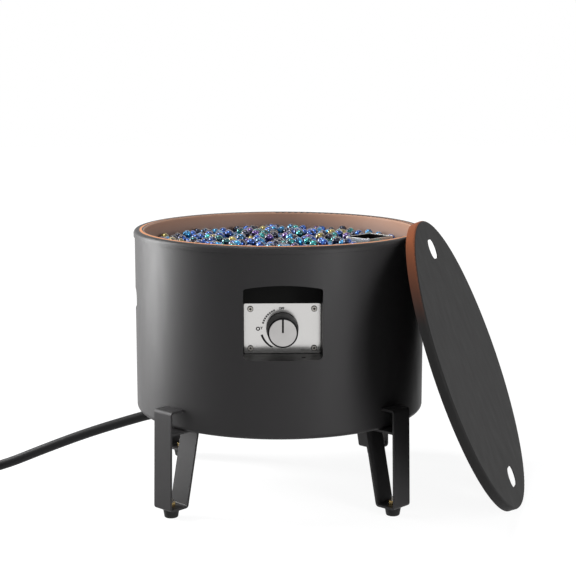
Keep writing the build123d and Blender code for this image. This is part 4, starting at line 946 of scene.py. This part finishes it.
@dataclass
class ControlPanel:
    """Stainless plate with its knob, screws, printed marks and the valve behind."""

    face_y: float = -155.0 * MM
    knob_z: float = 256.0 * MM
    print_depth: float = 0.06 * MM
    arc_step: float = 3.0
    boldness: float = 0.06
    off: Sign = Sign("OFF", 4.0 * MM, 2.0, 26.4 * MM)
    ring: Sign = Sign("O", 6.6 * MM, 91.0, 31.6 * MM)
    tick: Sign = Sign("Y", 4.4 * MM, 89.0, 27.0 * MM)
    dash: Stroke = Stroke(26.0 * MM, 19.0, 24.0, 2.5 * MM, 2.5 * MM)
    dash_count: int = 8
    dash_step: float = 7.0
    sweep: Stroke = Stroke(28.0 * MM, 104.0, 151.0, 2.9 * MM, 2.2 * MM)

    def build(self) -> None:
        """Dress the panel's pieces and print its marks."""
        dress(STAINLESS, ("control_plate",))
        # The recess is painted darker as its shade.
        dress(RECESS_SHADE_PAINT, ("panel_box",))
        dress(NICKEL, ("panel_screws",))
        dress(ZINC, ("valve_screws", "valve_stem", "stem_spring"))
        dress(GLOSS_BLACK, ("knob",))
        dress(SATIN_FACE, ("knob_face",))
        dress(BRASS, ("valve_body", "valve_cap", "valve_plug"))
        place(self.marks(), Body.FRAME, PRINT)

    def on_dial(self, radius: float, clock: float) -> Vector:
        """Give a point on the plate round the knob.

        Args:
            radius: Distance from the knob's axis.
            clock: Angle in degrees, anticlockwise from the top.

        Returns:
            The point, just proud of the plate.
        """
        turn = math.radians(clock)
        x, z = -radius * math.sin(turn), radius * math.cos(turn)
        return Vector((x, self.face_y - self.print_depth / 2, self.knob_z + z))

    def word(self, sign: Sign) -> bpy.types.Object:
        """Print letters on the plate.

        Args:
            sign: The letters and their place.

        Returns:
            The letters as a thin mesh.
        """
        deselect()
        spot = self.on_dial(sign.radius, sign.clock)
        bpy.ops.object.text_add(location=spot, rotation=(math.pi / 2, 0, 0))
        label = added("word_" + sign.text.lower())
        label.data.body = sign.text
        label.data.size = sign.size
        label.data.offset = self.boldness * sign.size
        label.data.align_x = "CENTER"
        label.data.align_y = "CENTER"
        label.data.extrude = self.print_depth / 2
        bpy.ops.object.convert(target="MESH")
        return settle(bpy.context.object)

    def arc(self, stroke: Stroke) -> bpy.types.Object:
        """Print an arc round the knob that may taper.

        Args:
            stroke: The arc's place and widths.

        Returns:
            The arc as a thin mesh.
        """
        deselect()
        steps = max(2, int(abs(stroke.end - stroke.start) / self.arc_step))
        turn = (stroke.end - stroke.start) / steps
        narrowing = (stroke.thin / stroke.thick) ** (1 / steps)
        middle = self.on_dial(stroke.radius, stroke.start)
        bpy.ops.mesh.primitive_plane_add(size=stroke.thick, location=middle,
                                         rotation=(math.pi / 2, math.radians(-stroke.start), 0))
        strip = settle(added("dial_arc"))
        ahead = self.on_dial(stroke.radius, stroke.start + turn) - middle
        pick(strip, "VERT", lambda vertex: (vertex.co - middle).dot(ahead) < 0)
        bpy.ops.mesh.delete(type="VERT")
        bpy.ops.mesh.select_all(action="SELECT")
        for step in range(1, steps + 1):
            bpy.ops.mesh.extrude_region_move()
            bpy.ops.transform.rotate(value=math.radians(turn), orient_axis="Y",
                                     center_override=self.on_dial(0, 0))
            spot = self.on_dial(stroke.radius, stroke.start + turn * step)
            bpy.ops.transform.resize(value=(narrowing,) * 3, center_override=spot)
        bpy.ops.object.mode_set(mode="OBJECT")
        ink = strip.modifiers.new("ink", "SOLIDIFY")
        ink.thickness = self.print_depth
        ink.offset = 0.0
        apply_modifiers(strip)
        return strip

    def marks(self) -> bpy.types.Object:
        """Print the word, the dashes, the ring with its tick and the tapering arc.

        Returns:
            All marks as one piece.
        """
        marks = [self.word(self.off)]
        for count in range(self.dash_count):
            on = count * self.dash_step
            dash = replace(self.dash, start=self.dash.start + on, end=self.dash.end + on)
            marks.append(self.arc(dash))
        marks += [self.word(self.ring), self.word(self.tick), self.arc(self.sweep)]
        return joined(marks, "dial_marks")


@dataclass
class Legs:
    """Four bent legs with their levelling feet."""

    corners: tuple[str, ...] = ("front_left", "front_right", "rear_left", "rear_right")

    def build(self) -> None:
        """Dress the legs, feet and nuts."""
        dress(PAINT, [f"leg_bar_{corner}" for corner in self.corners])
        dress(PAD_RUBBER, [f"foot_pad_{corner}" for corner in self.corners])
        dress(THREAD, [f"foot_stud_{corner}" for corner in self.corners])
        dress(BRASS, ("foot_nuts",))


@dataclass
class Lid:
    """Flat lid that leans on the rim."""

    def build(self) -> None:
        """Dress the lid."""
        # The lid carries painted shade and the fire's painted glow.
        dress(LID_PAINT, ("lid",))


@dataclass
class Hose:
    """Gas hose from the base to the regulator, with its spare length coiled."""

    diameter: float = 14.3 * MM
    length: float = 2.91
    start: Point = (-138.0 * MM, 40.0 * MM, 97.0 * MM)
    route: tuple[Point, ...] = (
        (-0.170, 0.040, 0.097),
        (-0.226, 0.0425, 0.0808),
        (-0.284, 0.0445, 0.0623),
        (-0.345, 0.046, 0.039),
        (-0.402, 0.046, 0.016),
        (-0.446, 0.046, 0.0073),
        (-0.4857, 0.046, 0.0073),
    )
    coil_radius: float = 102.0 * MM
    coil_pitch: float = 18.0 * MM
    halves_in: int = 5
    halves_out: int = 4
    low: float = 7.3 * MM
    rise: float = 15.8 * MM
    points_in_half: int = 12
    curve_order: int = 3
    steps_along: int = 5
    steps_round: int = 5

    def build(self) -> None:
        """Lay the hose and dress what is on it."""
        dress(BRASS, ("inlet_elbow", "inlet_locknut", "hose_sleeve", "regulator_sleeve", "feed_tube_nuts",
                      "tank_nipple"))
        dress(COPPER, ("feed_tube",))
        dress(CASTING, ("regulator_body", "regulator_bonnet"))
        dress(ZINC, ("bonnet_screws",))
        dress(MATT_BLACK, ("tank_nut",))
        hose = place(self.line(), Body.FRAME, RUBBER)
        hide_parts("hose_run", "hose_coil")

    def coil(self) -> list[Point]:
        """Work out the turns of the coil: in along the floor, up a layer and out again.

        Returns:
            Points of the turns, in order.
        """
        middle_x = self.route[-1][0] - self.diameter
        middle_y = self.route[-1][1] - self.coil_radius
        inner = self.coil_radius - self.coil_pitch * self.halves_in / 2
        halves = [(self.coil_radius - self.coil_pitch * half / 2, -0.5, 0.0)
                  for half in range(self.halves_in)]
        halves += [(inner, 0.0, 1.0)]
        halves += [(inner + self.coil_pitch * half / 2, 0.5, 0.0) for half in range(self.halves_out)]
        halves += [(inner + self.coil_pitch * self.halves_out / 2, 0.5, 0.0)]
        points = []
        height = self.low
        for count, (reach, growth, climb) in enumerate(halves):
            last = count == len(halves) - 1
            steps = self.points_in_half // 2 if last else self.points_in_half
            side = 1 if count % 2 == 0 else -1
            radius = reach + growth * self.coil_pitch / 2
            shift = side * (reach - radius)
            for step in range(steps):
                share = step / self.points_in_half
                turn = math.pi * share
                lift = climb * self.rise * (1 - math.cos(turn)) / 2
                points.append((
                    middle_x - side * radius * math.sin(turn),
                    middle_y + shift + side * radius * math.cos(turn),
                    height + lift,
                ))
            height += climb * self.rise
        end_x = middle_x - (halves[-1][0] + self.coil_pitch / 4)
        end_y = middle_y - self.coil_pitch / 4
        points += [(end_x, end_y, height), (end_x, end_y - self.diameter, height)]
        return points

    def line(self) -> bpy.types.Object:
        """Model the hose as one smooth round curve through its whole route.

        Returns:
            The hose piece.
        """
        points = [self.start, *self.route, *self.coil()]
        curve = bpy.data.curves.new("gas_hose", "CURVE")
        curve.dimensions = "3D"
        spline = curve.splines.new("NURBS")
        spline.points.add(len(points) - 1)
        for knot, point in zip(spline.points, points):
            knot.co = (*point, 1.0)
        spline.use_endpoint_u = True
        spline.order_u = self.curve_order
        spline.resolution_u = self.steps_along
        curve.bevel_depth = self.diameter / 2
        curve.bevel_resolution = self.steps_round
        curve.use_fill_caps = True
        hose = bpy.data.objects.new("gas_hose", curve)
        bpy.context.collection.objects.link(hose)
        return hose


@dataclass(frozen=True)
class Lamp:
    """Soft rectangular lamp: its place, the point it faces, its width and height, and its watts."""

    name: str
    spot: Point
    target: Point
    size: Span
    power: float


@dataclass
class Studio:
    """White floor, soft lights and the camera."""

    camera_place: Point = (-0.0454, -1.9995, 0.617)
    pitch: float = 9.47
    heading: float = 1.64
    lens: float = 90.3
    floor_size: float = 14.0
    floor_drop: float = 0.3 * MM
    floor_grey: float = 0.86
    floor_roughness: float = 0.9
    floor_glow: float = 1.08
    fade_reach: Span = (0.45, 1.5)
    fade_share: Span = (0.84, 1.0)
    sky: Colour = (0.9, 0.94, 1.0)
    sky_strength: float = 0.24
    lamps: tuple[Lamp, ...] = (
        Lamp("key", (-1.35, 0.4, 0.5), (-0.1, 0, 0.22), (0.5, 1.2), 60.0),
        Lamp("side", (1.25, -1.6, 0.5), (0, 0, 0.2), (0.5, 1.3), 37.0),
        Lamp("front", (-0.4, -2.5, 1.9), (0, 0, 0.2), (1.2, 1.0), 6.0),
        Lamp("top", (-0.45, -0.1, 1.9), (0, 0, 0.2), (0.5, 0.5), 15.0),
    )

    def build(self) -> None:
        """Set up the world, the floor, the lamps and the camera."""
        self.world()
        self.floor()
        for lamp in self.lamps:
            self.hang(lamp)
        self.camera()
        bpy.context.scene.view_settings.view_transform = "Standard"

    def seen_white(self, tree: bpy.types.NodeTree) -> bpy.types.NodeSocket:
        """Tell camera, mirror and glass rays from the light that falls on the object.

        Args:
            tree: Node tree to build in.

        Returns:
            A factor of 1 for the rays that show the background.
        """
        path = tree.nodes.new("ShaderNodeLightPath")
        total = path.outputs["Is Camera Ray"]
        for name in ("Is Glossy Ray", "Is Transmission Ray"):
            add = tree.nodes.new("ShaderNodeMath")
            add.operation = "MAXIMUM"
            tree.links.new(total, add.inputs[0])
            tree.links.new(path.outputs[name], add.inputs[1])
            total = add.outputs["Value"]
        return total

    def world(self) -> None:
        """Make the surroundings white to the camera and soft grey as light."""
        world = bpy.data.worlds.new("white_studio")
        bpy.context.scene.world = world
        world.use_nodes = True
        tree = world.node_tree
        light = tree.nodes["Background"]
        light.inputs["Color"].default_value = (*self.sky, 1.0)
        light.inputs["Strength"].default_value = self.sky_strength
        white = tree.nodes.new("ShaderNodeBackground")
        white.inputs["Color"].default_value = (1.0, 1.0, 1.0, 1.0)
        mix = tree.nodes.new("ShaderNodeMixShader")
        tree.links.new(self.seen_white(tree), mix.inputs["Fac"])
        tree.links.new(light.outputs["Background"], mix.inputs[1])
        tree.links.new(white.outputs["Background"], mix.inputs[2])
        tree.links.new(mix.outputs["Shader"], tree.nodes["World Output"].inputs["Surface"])

    def floor(self) -> None:
        """Lay a white floor that keeps a soft shadow."""
        deselect()
        bpy.ops.mesh.primitive_plane_add(size=self.floor_size, location=(0, 0, -self.floor_drop))
        floor = added("studio_floor")
        grey = (self.floor_grey,) * 3
        recipe = Recipe("white_floor", Base_Color=(*grey, 1.0), Roughness=self.floor_roughness)
        glow = recipe.node("Emission", {"Strength": self.floor_glow}).outputs["Emission"]
        away = recipe.step(recipe.reach((0.0, 0.0, 0.0)), *self.fade_reach)
        fade = recipe.span(away, *self.fade_share)
        seen = recipe.maths("MULTIPLY", self.seen_white(recipe.tree), fade)
        inputs = {"Fac": seen, 1: recipe.shader.outputs["BSDF"], 2: glow}
        mix = recipe.node("MixShader", inputs).outputs["Shader"]
        recipe.tree.links.new(mix, recipe.tree.nodes["Material Output"].inputs["Surface"])
        floor.data.materials.append(recipe.material)

    def hang(self, lamp: Lamp) -> None:
        """Hang a lamp and turn it to its target.

        Args:
            lamp: The lamp.
        """
        light = bpy.data.lights.new(lamp.name, "AREA")
        light.shape = "RECTANGLE"
        light.size, light.size_y = lamp.size
        light.energy = lamp.power
        hung = bpy.data.objects.new(lamp.name, light)
        hung.location = lamp.spot
        facing = Vector(lamp.target) - Vector(lamp.spot)
        hung.rotation_euler = facing.to_track_quat("-Z", "Y").to_euler()
        bpy.context.collection.objects.link(hung)

    def camera(self) -> None:
        """Stand the camera where the photograph was taken from."""
        camera = bpy.data.cameras.new("camera")
        camera.lens = self.lens
        camera.clip_end = 50.0
        eye = bpy.data.objects.new("camera", camera)
        eye.location = self.camera_place
        eye.rotation_euler = (math.radians(90 - self.pitch), 0, math.radians(-self.heading))
        bpy.context.collection.objects.link(eye)
        bpy.context.scene.camera = eye


def corners(box: tuple[Vector, Vector]) -> list[list[float]]:
    """Write a box as plain lists of numbers.

    Args:
        box: Lowest and highest corner.

    Returns:
        The two corners.
    """
    return [list(corner) for corner in box]


def main() -> None:
    """Build the sub-assemblies in order."""
    logging.basicConfig(level=logging.INFO, format="%(message)s")
    for part in (Studio(), Drum(), GlassFilling(), Burner(), ControlPanel(), Legs(), Lid(), Hose()):
        LOG.info("building %s", type(part).__name__)
        part.build()


if __name__ == "__main__":
    main()
